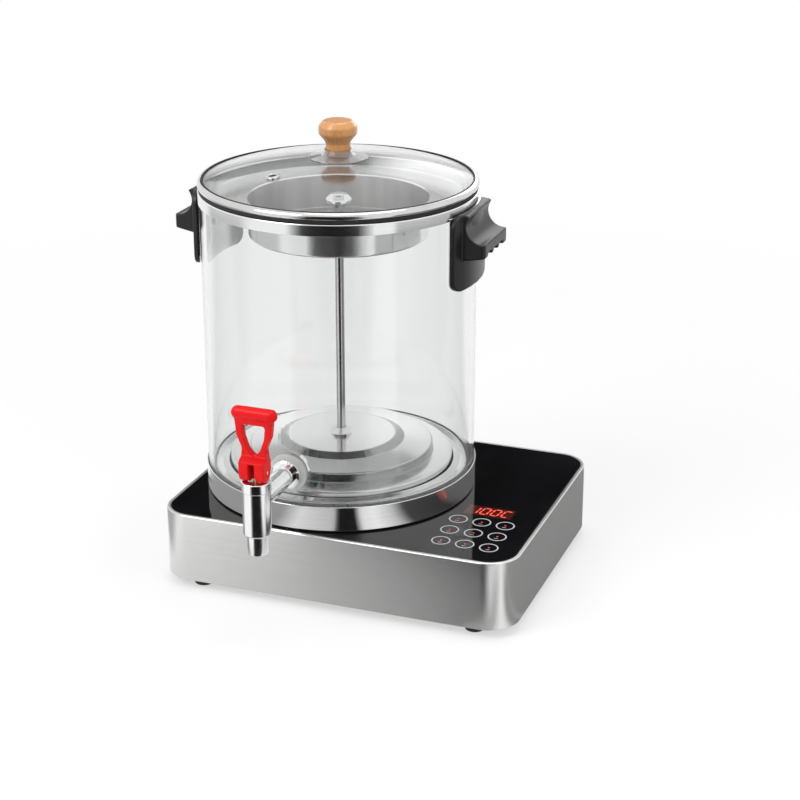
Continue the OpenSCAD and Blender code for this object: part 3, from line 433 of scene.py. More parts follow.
def lit_red(f, hues):
    """The display's glowing segments."""
    return glowing(f, (0.2, 0.0, 0.0), 0.4, f.noise(900.0, 1.0), hues.digits, scaled(hues.digits, 1.4), 1.2)


def key_red(f, hues):
    """Small red lights under the keys, dimmer than the digits."""
    low = scaled(hues.digits, 0.5)
    high = scaled(hues.digits, 0.8)
    return glowing(f, (0.15, 0.01, 0.01), 0.4, f.noise(900.0, 1.0), low, high, 1.0)


def dim_red(f, hues):
    """The display's window: black glass with a breath of red."""
    low = scaled(hues.digits, 0.03)
    high = scaled(hues.digits, 0.07)
    return glowing(f, (0.012, 0.004, 0.004), 0.12, f.noise(300.0, 2.0), low, high, 1.0)


def plain_metal(f, hues):
    """Zinc-plated inner steel with a spangled tone."""
    spangle = f.node("ShaderNodeTexVoronoi", {}, {"Vector": f.place(), "Scale": 160.0}, "Color")
    tone = f.node("ShaderNodeMix", {"data_type": "RGBA"},
                  {"Factor": 0.12, "A": (0.55, 0.56, 0.57, 1.0), "B": spangle}, 2)
    return f.principled(Base_Color=tone, Metallic=1.0, Roughness=0.32 + f.noise(90.0) * 0.15)


def turned_brass(f, hues):
    """Turned brass with fine tool lines."""
    lines = f.noise(1.0, 2.0, (60.0, 60.0, 3000.0))
    tone = f.ramp(lines, (0.3, (0.52, 0.38, 0.15)), (0.7, (0.72, 0.55, 0.26)))
    return f.principled(Base_Color=tone, Metallic=1.0, Roughness=0.22 + lines * 0.2)


def dark_paint(f, hues):
    """Satin paint on the bottom plate."""
    peel = f.noise(700.0, 2.0)
    tone = f.ramp(peel, (0.3, (0.05, 0.05, 0.055)), (0.7, (0.085, 0.085, 0.09)))
    return f.principled(Base_Color=tone, Roughness=0.42 + peel * 0.12, Normal=f.bump(peel, 0.1, 0.00006))


def chalky_fibre(f, hues):
    """Pressed white insulating fibre."""
    fibre = f.noise(500.0, 6.0)
    tone = f.ramp(fibre, (0.3, (0.74, 0.73, 0.69)), (0.7, (0.88, 0.87, 0.84)))
    return f.principled(Base_Color=tone, Roughness=0.9, Normal=f.bump(fibre, 0.4, 0.0003))


def heat_ribbon(f, hues):
    """Oxidised heating alloy."""
    scale = f.noise(260.0, 4.0)
    tone = f.ramp(scale, (0.3, (0.16, 0.12, 0.10)), (0.7, (0.36, 0.30, 0.27)))
    return f.principled(Base_Color=tone, Metallic=1.0, Roughness=0.45 + scale * 0.2)


def board_green(f, hues):
    """Lacquered circuit board."""
    tracks = f.node("ShaderNodeTexVoronoi", {"feature": "DISTANCE_TO_EDGE"},
                    {"Vector": f.place(), "Scale": 190.0}, "Distance")
    tone = f.ramp(tracks, (0.02, (0.10, 0.33, 0.16)), (0.08, (0.02, 0.15, 0.06)))
    return f.principled(Base_Color=tone, Roughness=0.35 + f.noise(200.0) * 0.1)


# Mesh helpers


def smooth_by_angle(bm, angle):
    """Smooth faces, with creases where two of them meet at more than an angle."""
    for face in bm.faces:
        face.smooth = True
    for edge in bm.edges:
        if len(edge.link_faces) == 2 and edge.calc_face_angle(0.0) > angle:
            edge.smooth = False


def tidy(bm):
    """Closes seams and poles, and turns the faces outwards."""
    bmesh.ops.remove_doubles(bm, verts=bm.verts, dist=WELD)
    bmesh.ops.dissolve_degenerate(bm, dist=1e-7, edges=bm.edges)
    bmesh.ops.recalc_face_normals(bm, faces=bm.faces)


def even_shading(obj):
    """Lets the large faces keep their own normals, so that flat walls reflect as flat mirrors."""
    weighted = obj.modifiers.new("even_shading", "WEIGHTED_NORMAL")
    weighted.keep_sharp = True
    rough_mesh = obj.data
    solved = obj.evaluated_get(bpy.context.evaluated_depsgraph_get())
    mesh = bpy.data.meshes.new_from_object(solved)
    obj.modifiers.clear()
    obj.data = mesh
    bpy.data.meshes.remove(rough_mesh)
    mesh.name = obj.name


def piece(name, bm, body, material, nodes=(), sharp=30.0):
    """Turns a bmesh into a finished object that rides on a body and stands for CAD nodes."""
    smooth_by_angle(bm, math.radians(sharp))
    mesh = bpy.data.meshes.new(name)
    bm.to_mesh(mesh)
    bm.free()
    mesh.materials.append(finish_of(material))
    obj = bpy.data.objects.new(name, mesh)
    bpy.context.scene.collection.objects.link(obj)
    even_shading(obj)
    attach(obj, body)
    if nodes:
        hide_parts(*nodes)
    return obj


def softened(corners, steps=4):
    """An outline whose corners (x, z, radius) are rounded with arcs."""
    points = []
    count = len(corners)
    for i, (x, z, radius) in enumerate(corners):
        here = Vector((x, z))
        if radius <= 0:
            points.append(here)
            continue
        before = (Vector(corners[i - 1][:2]) - here).normalized()
        after = (Vector(corners[(i + 1) % count][:2]) - here).normalized()
        half = before.angle(after) / 2
        centre = here + (before + after).normalized() * radius / math.sin(half)
        start = here + before * radius / math.tan(half) - centre
        end = here + after * radius / math.tan(half) - centre
        for k in range(steps + 1):
            points.append(centre + start.slerp(end, k / steps).normalized() * radius)
    return points


def lathe(points, steps=144, closed=True):
    """Spins an outline of (radius, height) points about the Z axis."""
    bm = bmesh.new()
    verts = [bm.verts.new((p[0], 0.0, p[1])) for p in points]
    pairs = list(zip(verts, verts[1:]))
    if closed:
        pairs.append((verts[-1], verts[0]))
    edges = [bm.edges.new(pair) for pair in pairs]
    bmesh.ops.spin(
        bm, geom=verts + edges, cent=(0, 0, 0), axis=(0, 0, 1), angle=FULL_TURN, steps=steps,
        use_merge=True, use_duplicate=False
    )
    tidy(bm)
    return bm


def in_mm(corners):
    """Corners in millimetres, brought to metres."""
    return [tuple(value * MM for value in corner) for corner in corners]


def turned(corners, centre, steps=144, closed=True, rounding=4):
    """A turned shape from corners (radius, height, rounding) in millimetres, set on a centre."""
    bm = lathe(softened(in_mm(corners), rounding), steps, closed)
    bmesh.ops.translate(bm, verts=bm.verts, vec=centre)
    return bm


def tube_wall(inner, outer, low, top, edge):
    """The corners of a plain tube's wall, with rounded edges."""
    return [(inner, low, edge), (outer, low, edge), (outer, top, edge), (inner, top, edge)]


def merged(*parts):
    """One bmesh out of several that don't touch."""
    whole = bmesh.new()
    for part in parts:
        mesh = bpy.data.meshes.new("part")
        part.to_mesh(mesh)
        part.free()
        whole.from_mesh(mesh)
        bpy.data.meshes.remove(mesh)
    return whole


def block(low, high):
    """A plain box between two corners."""
    bm = bmesh.new()
    bmesh.ops.create_cube(bm, size=1.0)
    size = Vector(high) - Vector(low)
    bmesh.ops.scale(bm, vec=size, verts=bm.verts)
    bmesh.ops.translate(bm, vec=(Vector(low) + Vector(high)) / 2, verts=bm.verts)
    return bm


def rod(radius, start, end, segments=48):
    """A plain cylinder between two points."""
    bm = bmesh.new()
    axis = Vector(end) - Vector(start)
    bmesh.ops.create_cone(
        bm, cap_ends=True, segments=segments, radius1=radius, radius2=radius, depth=axis.length
    )
    turn = Vector((0, 0, 1)).rotation_difference(axis).to_matrix().to_4x4()
    middle = (Vector(start) + Vector(end)) / 2
    bmesh.ops.transform(bm, matrix=Matrix.Translation(middle) @ turn, verts=bm.verts)
    return bm


def object_from(bm, name):
    """An object in the scene with a bmesh's shape."""
    mesh = bpy.data.meshes.new(name)
    bm.to_mesh(mesh)
    bm.free()
    obj = bpy.data.objects.new(name, mesh)
    bpy.context.scene.collection.objects.link(obj)
    return obj


def baked(obj):
    """The object's mesh with its modifiers, as a bmesh; the object is removed."""
    bpy.context.view_layer.update()
    depsgraph = bpy.context.evaluated_depsgraph_get()
    bm = bmesh.new()
    bm.from_object(obj, depsgraph)
    mesh = obj.data
    bpy.data.objects.remove(obj)
    bpy.data.meshes.remove(mesh)
    return bm


def combined(bm, other, operation):
    """The first shape with the second one joined to it or cut out of it."""
    obj = object_from(bm, "target")
    tool = object_from(other, "tool")
    modifier = obj.modifiers.new("combine", "BOOLEAN")
    modifier.operation = operation
    modifier.solver = "EXACT"
    modifier.object = tool
    result = baked(obj)
    mesh = tool.data
    bpy.data.objects.remove(tool)
    bpy.data.meshes.remove(mesh)
    bmesh.ops.remove_doubles(result, verts=result.verts, dist=WELD)
    return result


def copied(node):
    """The shape of a CAD node, with its loose triangles joined."""
    bm = bmesh.new()
    bm.from_mesh(frame["nodes"][node].data)
    bmesh.ops.remove_doubles(bm, verts=bm.verts, dist=WELD)
    return bm


def moulded(node, voxel, rounds):
    """A copy of a CAD node with its edges softened as a moulding's are."""
    obj = object_from(copied(node), node + "_copy")
    remesh = obj.modifiers.new("remesh", "REMESH")
    remesh.mode = "VOXEL"
    remesh.voxel_size = voxel
    soften = obj.modifiers.new("soften", "SMOOTH")
    soften.factor = 0.5
    soften.iterations = rounds
    return baked(obj)


def around(section, width, depth, corner, centre, steps=12):
    """A section of (inset, height) corners carried round a rounded rectangle by extruding and spinning."""
    bm = bmesh.new()
    start = Vector((centre.x - width / 2 + corner, centre.y - depth / 2, 0))
    loop = [bm.verts.new(start + Vector((0, inset, height))) for inset, height in section]
    edges = [bm.edges.new(pair) for pair in zip(loop, loop[1:] + loop[:1])]
    heading = Vector((1, 0, 0))
    middle = Vector((centre.x, centre.y, 0))
    for side in range(4):
        run = (width if side % 2 == 0 else depth) - 2 * corner
        grown = bmesh.ops.extrude_edge_only(bm, edges=edges)["geom"]
        moved = [g for g in grown if isinstance(g, bmesh.types.BMVert)]
        bmesh.ops.translate(bm, verts=moved, vec=heading * run)
        edges = [g for g in grown if isinstance(g, bmesh.types.BMEdge)]
        across = Vector((-heading.y, heading.x, 0))
        far = (width if side % 2 == 0 else depth) / 2 - corner
        near = (depth if side % 2 == 0 else width) / 2 - corner
        pivot = middle + heading * far - across * near
        spun = bmesh.ops.spin(
            bm, geom=moved + edges, cent=pivot, axis=(0, 0, 1), angle=math.pi / 2, steps=steps,
            use_merge=False, use_duplicate=False
        )["geom_last"]
        edges = [g for g in spun if isinstance(g, bmesh.types.BMEdge)]
        heading = across
    tidy(bm)
    return bm


def rounded_slab(width, depth, low, high, corner, centre, edge=0.0, steps=12):
    """A flat slab with rounded corners and a rounded top edge."""
    bm = block((-width / 2, -depth / 2, low), (width / 2, depth / 2, high))
    upright = [e for e in bm.edges if abs(e.verts[0].co.z - e.verts[1].co.z) > (high - low) / 2]
    bmesh.ops.bevel(
        bm, geom=upright, offset=corner, affect="EDGES", segments=steps, profile=0.5, material=-1
    )
    if edge:
        rim = [e for e in bm.edges if all(v.co.z > high - 1e-7 for v in e.verts)]
        bmesh.ops.bevel(bm, geom=rim, offset=edge, affect="EDGES", segments=3, profile=0.5, material=-1)
    bmesh.ops.translate(bm, verts=bm.verts, vec=(centre.x, centre.y, 0))
    return bm


def bent_plate(width, corner, low, high, inner, outer, facing, strips=28):
    """A plate with rounded lower corners, bent round the pot's axis to face one way."""
    bm = block((-width / 2, -1, low), (width / 2, 1, high))
    lower = [e for e in bm.edges if all(v.co.z < (low + high) / 2 for v in e.verts)
             and abs(e.verts[0].co.y - e.verts[1].co.y) > 1]
    bmesh.ops.bevel(bm, geom=lower, offset=corner, affect="EDGES", segments=10, profile=0.5, material=-1)
    for i in range(1, strips):
        cut = -width / 2 + width * i / strips
        geom = bm.verts[:] + bm.edges[:] + bm.faces[:]
        bmesh.ops.bisect_plane(bm, geom=geom, plane_co=(cut, 0, 0), plane_no=(1, 0, 0), dist=1e-7)
    middle = (inner + outer) / 2
    for vert in bm.verts:
        angle = facing + vert.co.x / middle
        radius = outer if vert.co.y > 0 else inner
        vert.co = (radius * math.cos(angle), radius * math.sin(angle), vert.co.z)
    bmesh.ops.recalc_face_normals(bm, faces=bm.faces)
    return bm


# Sizes and colours that a user would change


def length(name, default, description):
    """A size that a user would change, in metres."""
    return bpy.props.FloatProperty(
        name=name, description=description, default=default, unit="LENGTH", precision=5
    )


def hue(name, default, description):
    """A colour that a user would change."""
    return bpy.props.FloatVectorProperty(
        name=name, description=description, default=default, size=3, subtype="COLOR", min=0.0, max=1.0
    )


class TeaBoilerColours(bpy.types.PropertyGroup):
    steel: hue("Brushed steel", (0.74, 0.735, 0.73), "Tone of the base's brushed wrap")
    bright_steel: hue("Bright steel", (0.90, 0.90, 0.90), "Tone of the polished steel pieces")
    glass: hue("Glass", (0.930, 0.938, 0.936), "Tint of the clear glass")
    black_glass: hue("Black glass", (0.006, 0.006, 0.007), "Tone of the hot plate's glass")
    black_plastic: hue("Handle black", (0.011, 0.011, 0.012), "Tone of the handles")
    lever_red: hue("Lever red", (0.76, 0.006, 0.008), "Tone of the tap's lever")
    wood: hue("Beech", (0.62, 0.29, 0.095), "Light tone of the knob's wood")
    wood_dark: hue("Beech grain", (0.42, 0.18, 0.06), "Dark tone of the knob's grain")
    rubber: hue("Rubber", (0.011, 0.011, 0.012), "Tone of the feet, gasket and gland")
    silicone: hue("Silicone", (0.86, 0.87, 0.86), "Tone of the washers and seals")
    digits: hue("Digits", (1.0, 0.06, 0.02), "Glow of the display's digits")


class TeaBoilerSizes(bpy.types.PropertyGroup):
    base_corner: length("Base corner", 0.028, "Radius of the base's upright corners")
    key_radius: length("Key radius", 0.0082, "Outer radius of a key's printed ring")
    key_line: length("Key line", 0.0011, "Width of a key's printed ring")
    print_height: length("Print height", 0.00006, "Thickness of the print on the glass")
    digit_height: length("Digit height", 0.0125, "Height of the display's digits")
    grip_voxel: length("Grip grain", 0.0007, "Fineness of the handles' soft edges")
    lever_voxel: length("Lever grain", 0.0005, "Fineness of the lever's soft edges")


class TeaBoilerStage(bpy.types.PropertyGroup):
    lens: bpy.props.FloatProperty(
        name="Lens", description="Focal length of the camera", default=86.10, unit="CAMERA"
    )
    camera_from_pot: bpy.props.FloatVectorProperty(
        name="Camera from pot", description="Camera, seen from the pot's axis on the hot plate",
        default=(0.60675, -1.48525, 0.69422), size=3, subtype="TRANSLATION"
    )
    camera_tilt: bpy.props.FloatProperty(
        name="Camera tilt", description="How far the camera looks down", default=math.radians(21.12),
        subtype="ANGLE"
    )
    camera_turn: bpy.props.FloatProperty(
        name="Camera turn", description="How far the camera is turned to its left",
        default=math.radians(20.33), subtype="ANGLE"
    )


# The base


class TEABOILER_OT_base(bpy.types.Operator):
    """Brushed wrap with its slots, black glass, feet and cord gland"""

    bl_idname = "tea_boiler.base"
    bl_label = "Base"

    # The wrap's sheet, the lip round the glass, the ledge under it and the bottom flange, in millimetres
    sheet = 1.5
    lip = 3.0
    lip_gap = 0.3
    ledge = 9.0
    ledge_depth = 4.0
    flange = 12.0
    flange_rise = 2.0

    def execute(self, context):
        corner = context.scene.tea_boiler_sizes.base_corner
        self.wrap(corner)
        size = plate_high - plate_low
        inner_corner = corner - (self.lip + self.lip_gap) * MM
        middle = (plate_low + plate_high) / 2
        plate = rounded_slab(size.x, size.y, plate_low.z, plate_high.z, inner_corner, middle, 0.5 * MM)
        piece("hot_plate_glass", plate, "base", black_glass, ["glass_top_plate"])
        self.feet()
        self.gland()
        return {"FINISHED"}

    def wrap(self, corner):
        size = housing_high - housing_low
        low = housing_low.z / MM
        top = housing_high.z / MM
        seat = top - self.ledge_depth
        foot = low + self.flange_rise
        section = softened([
            (0, low, 0.6), (0, top, 1.1), (self.lip, top, 0.25), (self.lip, seat, 0), (self.ledge, seat, 0),
            (self.ledge, seat - self.sheet, 0), (self.sheet, seat - self.sheet, 0),
            (self.sheet, foot + self.sheet, 0), (self.flange, foot + self.sheet, 0), (self.flange, foot, 0),
            (self.sheet, foot, 0), (self.sheet, low, 0)], 5)
        wrap = around(in_mm(section), size.x, size.y, corner, (housing_low + housing_high) / 2)
        wrap = combined(wrap, self.back_holes(), "DIFFERENCE")
        piece("base_wrap", wrap, "base", brushed_steel, ["base_housing"])

    def back_holes(self):
        """The gland's hole and nine upright air slots beside it, as one cutter."""
        gland = (gland_low + gland_high) / 2
        gland.y = housing_high.y
        through = Vector((0, 5 * MM, 0))
        gland_hole_r = 6.6 * MM
        cutters = [rod(gland_hole_r, gland - through, gland + through)]
        slot_width = 3 * MM
        slot_height = 22 * MM
        slot_corner = 1.45 * MM
        slot_pitch = 6 * MM
        slot_rise = 6 * MM
        middle = Vector(((panel_low.x + panel_high.x) / 2, gland.y, gland.z + slot_rise))
        stand_up = Matrix.Rotation(math.pi / 2, 4, "X")
        for i in range(-4, 5):
            slot = rounded_slab(
                slot_width, slot_height, -through.y, through.y, slot_corner, Vector((0, 0, 0)), 0.0, 5)
            place = Matrix.Translation(middle + Vector((i * slot_pitch, 0, 0)))
            bmesh.ops.transform(slot, matrix=place @ stand_up, verts=slot.verts)
            cutters.append(slot)
        return merged(*cutters)

    def feet(self):
        low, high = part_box("rubber_feet")
        radius = 9.0
        parts = []
        for x in (low.x + radius * MM, high.x - radius * MM):
            for y in (low.y + radius * MM, high.y - radius * MM):
                parts.append(turned([
                    (0, 0.6, 0), (4.5, 0.6, 0.2), (5.0, 0, 0.3), (radius - 0.8, 0, 0.7), (radius, 2.2, 0.6),
                    (radius - 0.7, 4.4, 0.4), (radius - 0.2, 5.0, 0.3), (radius - 1, 8, 0), (0, 8, 0)],
                    Vector((x, y, 0)), 48, False))
        feet = merged(*parts)
        piece("rubber_feet_soft", feet, "base", black_rubber, ["rubber_feet"], sharp=38.0)

    def gland(self):
        """A bush that grips the sheet in a groove, with a rounded collar outside."""
        bore = 3.7
        neck = 6.5
        collar = 9.0
        bm = lathe(softened(in_mm([
            (bore, -4.5, 0.3), (bore, 3.0, 0.5), (6.2, 3.0, 0.6), (7.0, 1.6, 0.4), (collar, 1.2, 0.4),
            (collar, 0, 0), (neck, 0, 0), (neck, -self.sheet, 0), (collar, -self.sheet, 0),
            (collar, -4.5, 0.5)])), 64)
        place = (gland_low + gland_high) / 2
        place.y = housing_high.y
        turn = Matrix.Translation(place) @ Matrix.Rotation(-math.pi / 2, 4, "X")
        bmesh.ops.transform(bm, matrix=turn, verts=bm.verts)
        piece("cord_gland_bush", bm, "base", black_rubber, ["cord_gland"], sharp=38.0)


# The bars that make each sign: a at the top, then clockwise to f
SEGMENTS = {"1": "bc", "0": "abcdef", "C": "adef"}


class TEABOILER_OT_panel(bpy.types.Operator):
    """Printed key rings, their red lights and the display's digits on the black glass"""

    bl_idname = "tea_boiler.panel"
    bl_label = "Touch panel"

    def execute(self, context):
        sizes = context.scene.tea_boiler_sizes
        top = plate_high.z
        light_r = 0.95 * MM
        light_offset = Vector((0, 0.3 * MM, 0))
        dash_offset = Vector((0, -3.6 * MM, 0))
        spring_r = 5 * MM
        xs = [key_low.x + spring_r, (key_low.x + key_high.x) / 2, key_high.x - spring_r]
        ys = [key_low.y + spring_r, (key_low.y + key_high.y) / 2, key_high.y - spring_r]
        rings = []
        lights = []
        for x in xs:
            for y in ys:
                centre = Vector((x, y, top))
                outer = sizes.key_radius
                rings.append(self.ring(outer - sizes.key_line, outer, sizes.print_height, centre))
                rings.append(self.dash(centre + dash_offset, sizes.print_height))
                lights.append(self.ring(0.0, light_r, sizes.print_height, centre + light_offset))
        piece("key_rings", merged(*rings), "base", panel_print, sharp=38.0)
        piece("key_lights", merged(*lights), "base", key_red, sharp=38.0)
        self.display(sizes, top)
        return {"FINISHED"}

    def ring(self, inner, outer, height, centre):
        """A printed ring, or a disc where the inner radius is 0."""
        points = [(inner, 0), (outer, 0), (outer, height), (inner, height)]
        bm = lathe(points, 48, inner > 0)
        bmesh.ops.translate(bm, verts=bm.verts, vec=centre)
        return bm

    def dash(self, centre, height):
        """A short printed line under a key's light."""
        half = Vector((1.7 * MM, 0.25 * MM, 0))
        return block(centre - half, centre + half + Vector((0, 0, height)))

    def display(self, sizes, top):
        centre = (panel_low + panel_high) / 2
        window_top = top + sizes.print_height / 2
        window = rounded_slab(
            width=43 * MM, depth=19 * MM, low=top, high=window_top, corner=1.2 * MM, centre=centre, steps=4)
        piece("display_window", window, "base", dim_red, sharp=38.0)
        bars = []
        pitch = 9.6 * MM
        tall = sizes.digit_height
        for i, sign in enumerate("100C"):
            origin = Vector((centre.x + (i - 1.5) * pitch, centre.y - tall / 2, top))
            for name in SEGMENTS[sign]:
                bars.append(self.segment(name, origin, tall, sizes.print_height))
        piece("display_digits", merged(*bars), "base", lit_red, sharp=38.0)

    def segment(self, name, origin, tall, height):
        """One slanting bar of a digit, pointed at both ends."""
        wide = tall * 0.5
        half = tall / 2
        ends = {
            "a": ((0, tall), (wide, tall)), "d": ((0, 0), (wide, 0)),
            "b": ((wide, half), (wide, tall)), "c": ((wide, 0), (wide, half)),
            "e": ((0, 0), (0, half)), "f": ((0, half), (0, tall)),
        }[name]
        start, end = (Vector(point) for point in ends)
        along = (end - start).normalized()
        across = Vector((-along.y, along.x))
        gap = tall * 0.035
        thick = tall * 0.062
        start = start + along * gap
        end = end - along * gap
        corners = [
            start, start + along * thick + across * thick, end - along * thick + across * thick, end,
            end - along * thick - across * thick, start + along * thick - across * thick
        ]
        bm = bmesh.new()
        slant = 0.16
        left = origin.x - wide / 2
        low = [bm.verts.new((left + p.x + p.y * slant, origin.y + p.y, origin.z)) for p in corners]
        face = bm.faces.new(low)
        grown = bmesh.ops.extrude_face_region(bm, geom=[face])["geom"]
        raised = [g for g in grown if isinstance(g, bmesh.types.BMVert)]
        bmesh.ops.translate(bm, verts=raised, vec=(0, 0, height))
        bmesh.ops.recalc_face_normals(bm, faces=bm.faces)
        return bm


# The pot


class TEABOILER_OT_pot(bpy.types.Operator):
    """Glass cylinder, bottom band, pan and the top ring with its tongues"""

    bl_idname = "tea_boiler.pot"
    bl_label = "Pot"

    # The sheet of the steel pieces and the underside of the band, in millimetres
    sheet = 1.0
    low = 0.3

    def execute(self, context):
        self.glass()
        self.band()
        self.pan()
        self.ring()
        return {"FINISHED"}

    def glass(self):
        wall = 5.0
        foot = 3.3
        top = 269.5
        glass = turned(tube_wall(GLASS_R - wall, GLASS_R, foot, top, 0.8), POT, POT_STEPS)
        shank_hole_r = 8.3 * MM
        front = POT + Vector((0, -GLASS_R * MM, SHANK_RISE))
        hole = rod(shank_hole_r, front + Vector((0, 15 * MM, 0)), front - Vector((0, 10 * MM, 0)), 64)
        glass = combined(glass, hole, "DIFFERENCE")
        piece("glass_wall", glass, "pot", clear_glass, ["glass_cylinder"])

    def band(self):
        top = 23.5
        hole_r = 100.2
        inner = BAND_R - self.sheet
        band = turned([
            (hole_r, self.low, 0), (BAND_R, self.low, 2.0), (BAND_R, top, 0.45), (inner, top, 0.45),
            (inner, self.low + self.sheet, 0.9), (hole_r, self.low + self.sheet, 0)], POT, POT_STEPS)
        piece("polished_bottom_band", band, "pot", ring_steel, ["bottom_band"])

    def pan(self):
        """A floor, and a thick ring between it and the glass with a shallow groove on top."""
        floor = 6.3
        rim = 24.5
        rim_r = 113.2
        ring_r = 102.2
        ring_low = self.low + self.sheet
        pan = turned([
            (0, floor, 0), (ring_r, floor, 0.9), (ring_r, ring_low, 0.9), (rim_r, ring_low, 1.9),
            (rim_r, rim, 0.4), (rim_r - self.sheet, rim, 0.4), (106.5, rim - 1.9, 2.0),
            (ring_r, rim + 0.4, 0.8), (ring_r - self.sheet, rim - 0.2, 0.6),
            (ring_r - self.sheet, floor + self.sheet, 1.0), (0, floor + self.sheet, 0)],
            POT, POT_STEPS, False)
        piece("spun_bottom_pan", pan, "pot", spun_steel, ["bottom_pan"])

    def ring(self):
        """A channel over the glass's edge, with a tongue on each side that carries a handle."""
        top = 272.0
        skirt = 262.0
        inner_r = 112.7
        inner_low = 266.0
        outer_wall = BAND_R - self.sheet
        inner_wall = inner_r + self.sheet
        ring = turned([
            (BAND_R, skirt, 0.4), (BAND_R, top, 1.2), (inner_r, top, 1.0), (inner_r, inner_low, 0.4),
            (inner_wall, inner_low, 0.4), (inner_wall, top - self.sheet, 0.5),
            (outer_wall, top - self.sheet, 0.5), (outer_wall, skirt, 0.4)], POT, POT_STEPS)
        parts = [ring]
        for facing in (0.0, math.pi):
            tongue = bent_plate(
                width=82.8 * MM, corner=10 * MM, low=200.6 * MM, high=264 * MM, inner=(BAND_R + 0.02) * MM,
                outer=(BAND_R + 1.0) * MM, facing=facing)
            bmesh.ops.translate(tongue, verts=tongue.verts, vec=POT)
            parts.append(tongue)
        piece("polished_top_ring", merged(*parts), "pot", ring_steel, ["top_ring"])


class TEABOILER_OT_handles(bpy.types.Operator):
    """Moulded black handles with soft edges"""

    bl_idname = "tea_boiler.handles"
    bl_label = "Handles"

    def execute(self, context):
        voxel = context.scene.tea_boiler_sizes.grip_voxel
        for side in ("left", "right"):
            node = side + "_handle"
            grip = moulded(node, voxel, rounds=10)
            piece(side + "_grip", grip, "pot", black_plastic, [node], sharp=60.0)
        return {"FINISHED"}


# The tap


class TEABOILER_OT_tap(bpy.types.Operator):
    """Polished tap body, shank, ribbed shank nut and bonnet"""

    bl_idname = "tea_boiler.tap"
    bl_label = "Tap"

    # Top of the body, bore of the shank, and where the shank starts, from the tap's axis, in millimetres
    shell_top = 63.0
    shank_bore = 5.0
    shank_start = 8.0

    def execute(self, context):
        self.shank()
        self.shell()
        self.ribbed_nut()
        self.bonnet()
        return {"FINISHED"}

    def shell(self):
        """The body with its spout, outlet, valve chamber and the hole of the shank."""
        outlet_r = 5.5
        spout_r = 8.65
        spout_low = 6.6
        spout_top = 24.0
        shell_r = 11.85
        chamber_r = 8.35
        seat = 33.0
        shell = turned([
            (outlet_r, spout_low, 0.3), (spout_r, spout_low, 0.5), (spout_r, spout_top, 0.2),
            (shell_r - 1.15, spout_top, 0.4), (shell_r, spout_top + 1.3, 0.7),
            (shell_r, self.shell_top, 0.25), (chamber_r, self.shell_top, 0), (chamber_r, seat, 0),
            (outlet_r, seat, 0)], TAP, TAP_STEPS)
        start = TAP + Vector((0, 0, SHANK_RISE))
        inlet = rod(self.shank_bore * MM, start, start + Vector((0, 90 * MM, 0)))
        shell = combined(shell, inlet, "DIFFERENCE")
        piece("tap_shell", shell, "pot", turned_chrome, ["tap_body"])

    def shank(self):
        pipe_r = 9.0
        collar_r = 10.5
        collar = 57.0
        thread_r = 8.0
        end = 81.5
        shank = turned([
            (self.shank_bore, -1, 0), (pipe_r, -1, 0), (pipe_r, collar - 2, 0.6),
            (collar_r, collar - 0.5, 0.5), (collar_r, collar, 0.2), (thread_r, collar, 0),
            (thread_r, end, 0.6), (self.shank_bore, end, 0)], Vector((0, 0, 0)), TAP_STEPS)
        self.lay_on_shank(shank)
        piece("tap_shank", shank, "pot", polished_steel)

    def lay_on_shank(self, bm):
        """Turns a shape made along Z to run along the shank, from the tap towards the pot."""
        turn = Matrix.Rotation(-math.pi / 2, 4, "X")
        place = Matrix.Translation(TAP + Vector((0, self.shank_start * MM, SHANK_RISE)))
        bmesh.ops.transform(bm, matrix=place @ turn, verts=bm.verts)

    def ribbed_nut(self):
        """A nut with fine ribs, left between grooves that a ring of rods cuts."""
        bore = 8.1
        nut_r = 13.0
        near = 57.2 - self.shank_start
        far = 61.9 - self.shank_start
        nut = turned([
            (bore, near, 0), (nut_r - 1.8, near, 0.4), (nut_r, near + 1.2, 0.4), (nut_r, far, 0.3),
            (bore, far, 0)], Vector((0, 0, 0)), TAP_STEPS)
        groove_count = 40
        groove_r = 0.42 * MM
        groove_start = Vector((0, 0, 49 * MM))
        groove_end = Vector((0, 0, 55 * MM))
        grooves = []
        for i in range(groove_count):
            angle = FULL_TURN * i / groove_count
            side = Vector((math.cos(angle), math.sin(angle), 0)) * (nut_r + 0.1) * MM
            grooves.append(rod(groove_r, side + groove_start, side + groove_end, 8))
        nut = combined(nut, merged(*grooves), "DIFFERENCE")
        self.lay_on_shank(nut)
        piece("ribbed_shank_nut", nut, "pot", polished_steel)

    def bonnet(self):
        """The cap on the body, dished on top round the stem's hole."""
        stem_r = 2.5
        dish_r = 6.5
        cap_r = 12.5
        low = self.shell_top + 0.05
        top = 71.8
        bonnet = turned([
            (stem_r, low, 0), (cap_r - 0.4, low, 0.3), (cap_r, low + 0.55, 0.3), (cap_r, top, 0.9),
            (dish_r, top, 0.3), (dish_r - 0.5, top - 0.5, 0.2), (stem_r, top - 0.5, 0.2)], TAP, TAP_STEPS)
        piece("tap_cap", bonnet, "pot", turned_chrome, ["tap_bonnet"])


class TEABOILER_OT_lever(bpy.types.Operator):
    """Red tap lever with soft moulded edges"""

    bl_idname = "tea_boiler.lever"
    bl_label = "Tap lever"

    def execute(self, context):
        lever = moulded("tap_lever", context.scene.tea_boiler_sizes.lever_voxel, rounds=8)
        piece("red_lever", lever, "lever", red_plastic, ["tap_lever"], sharp=60.0)
        return {"FINISHED"}


# The brewing set


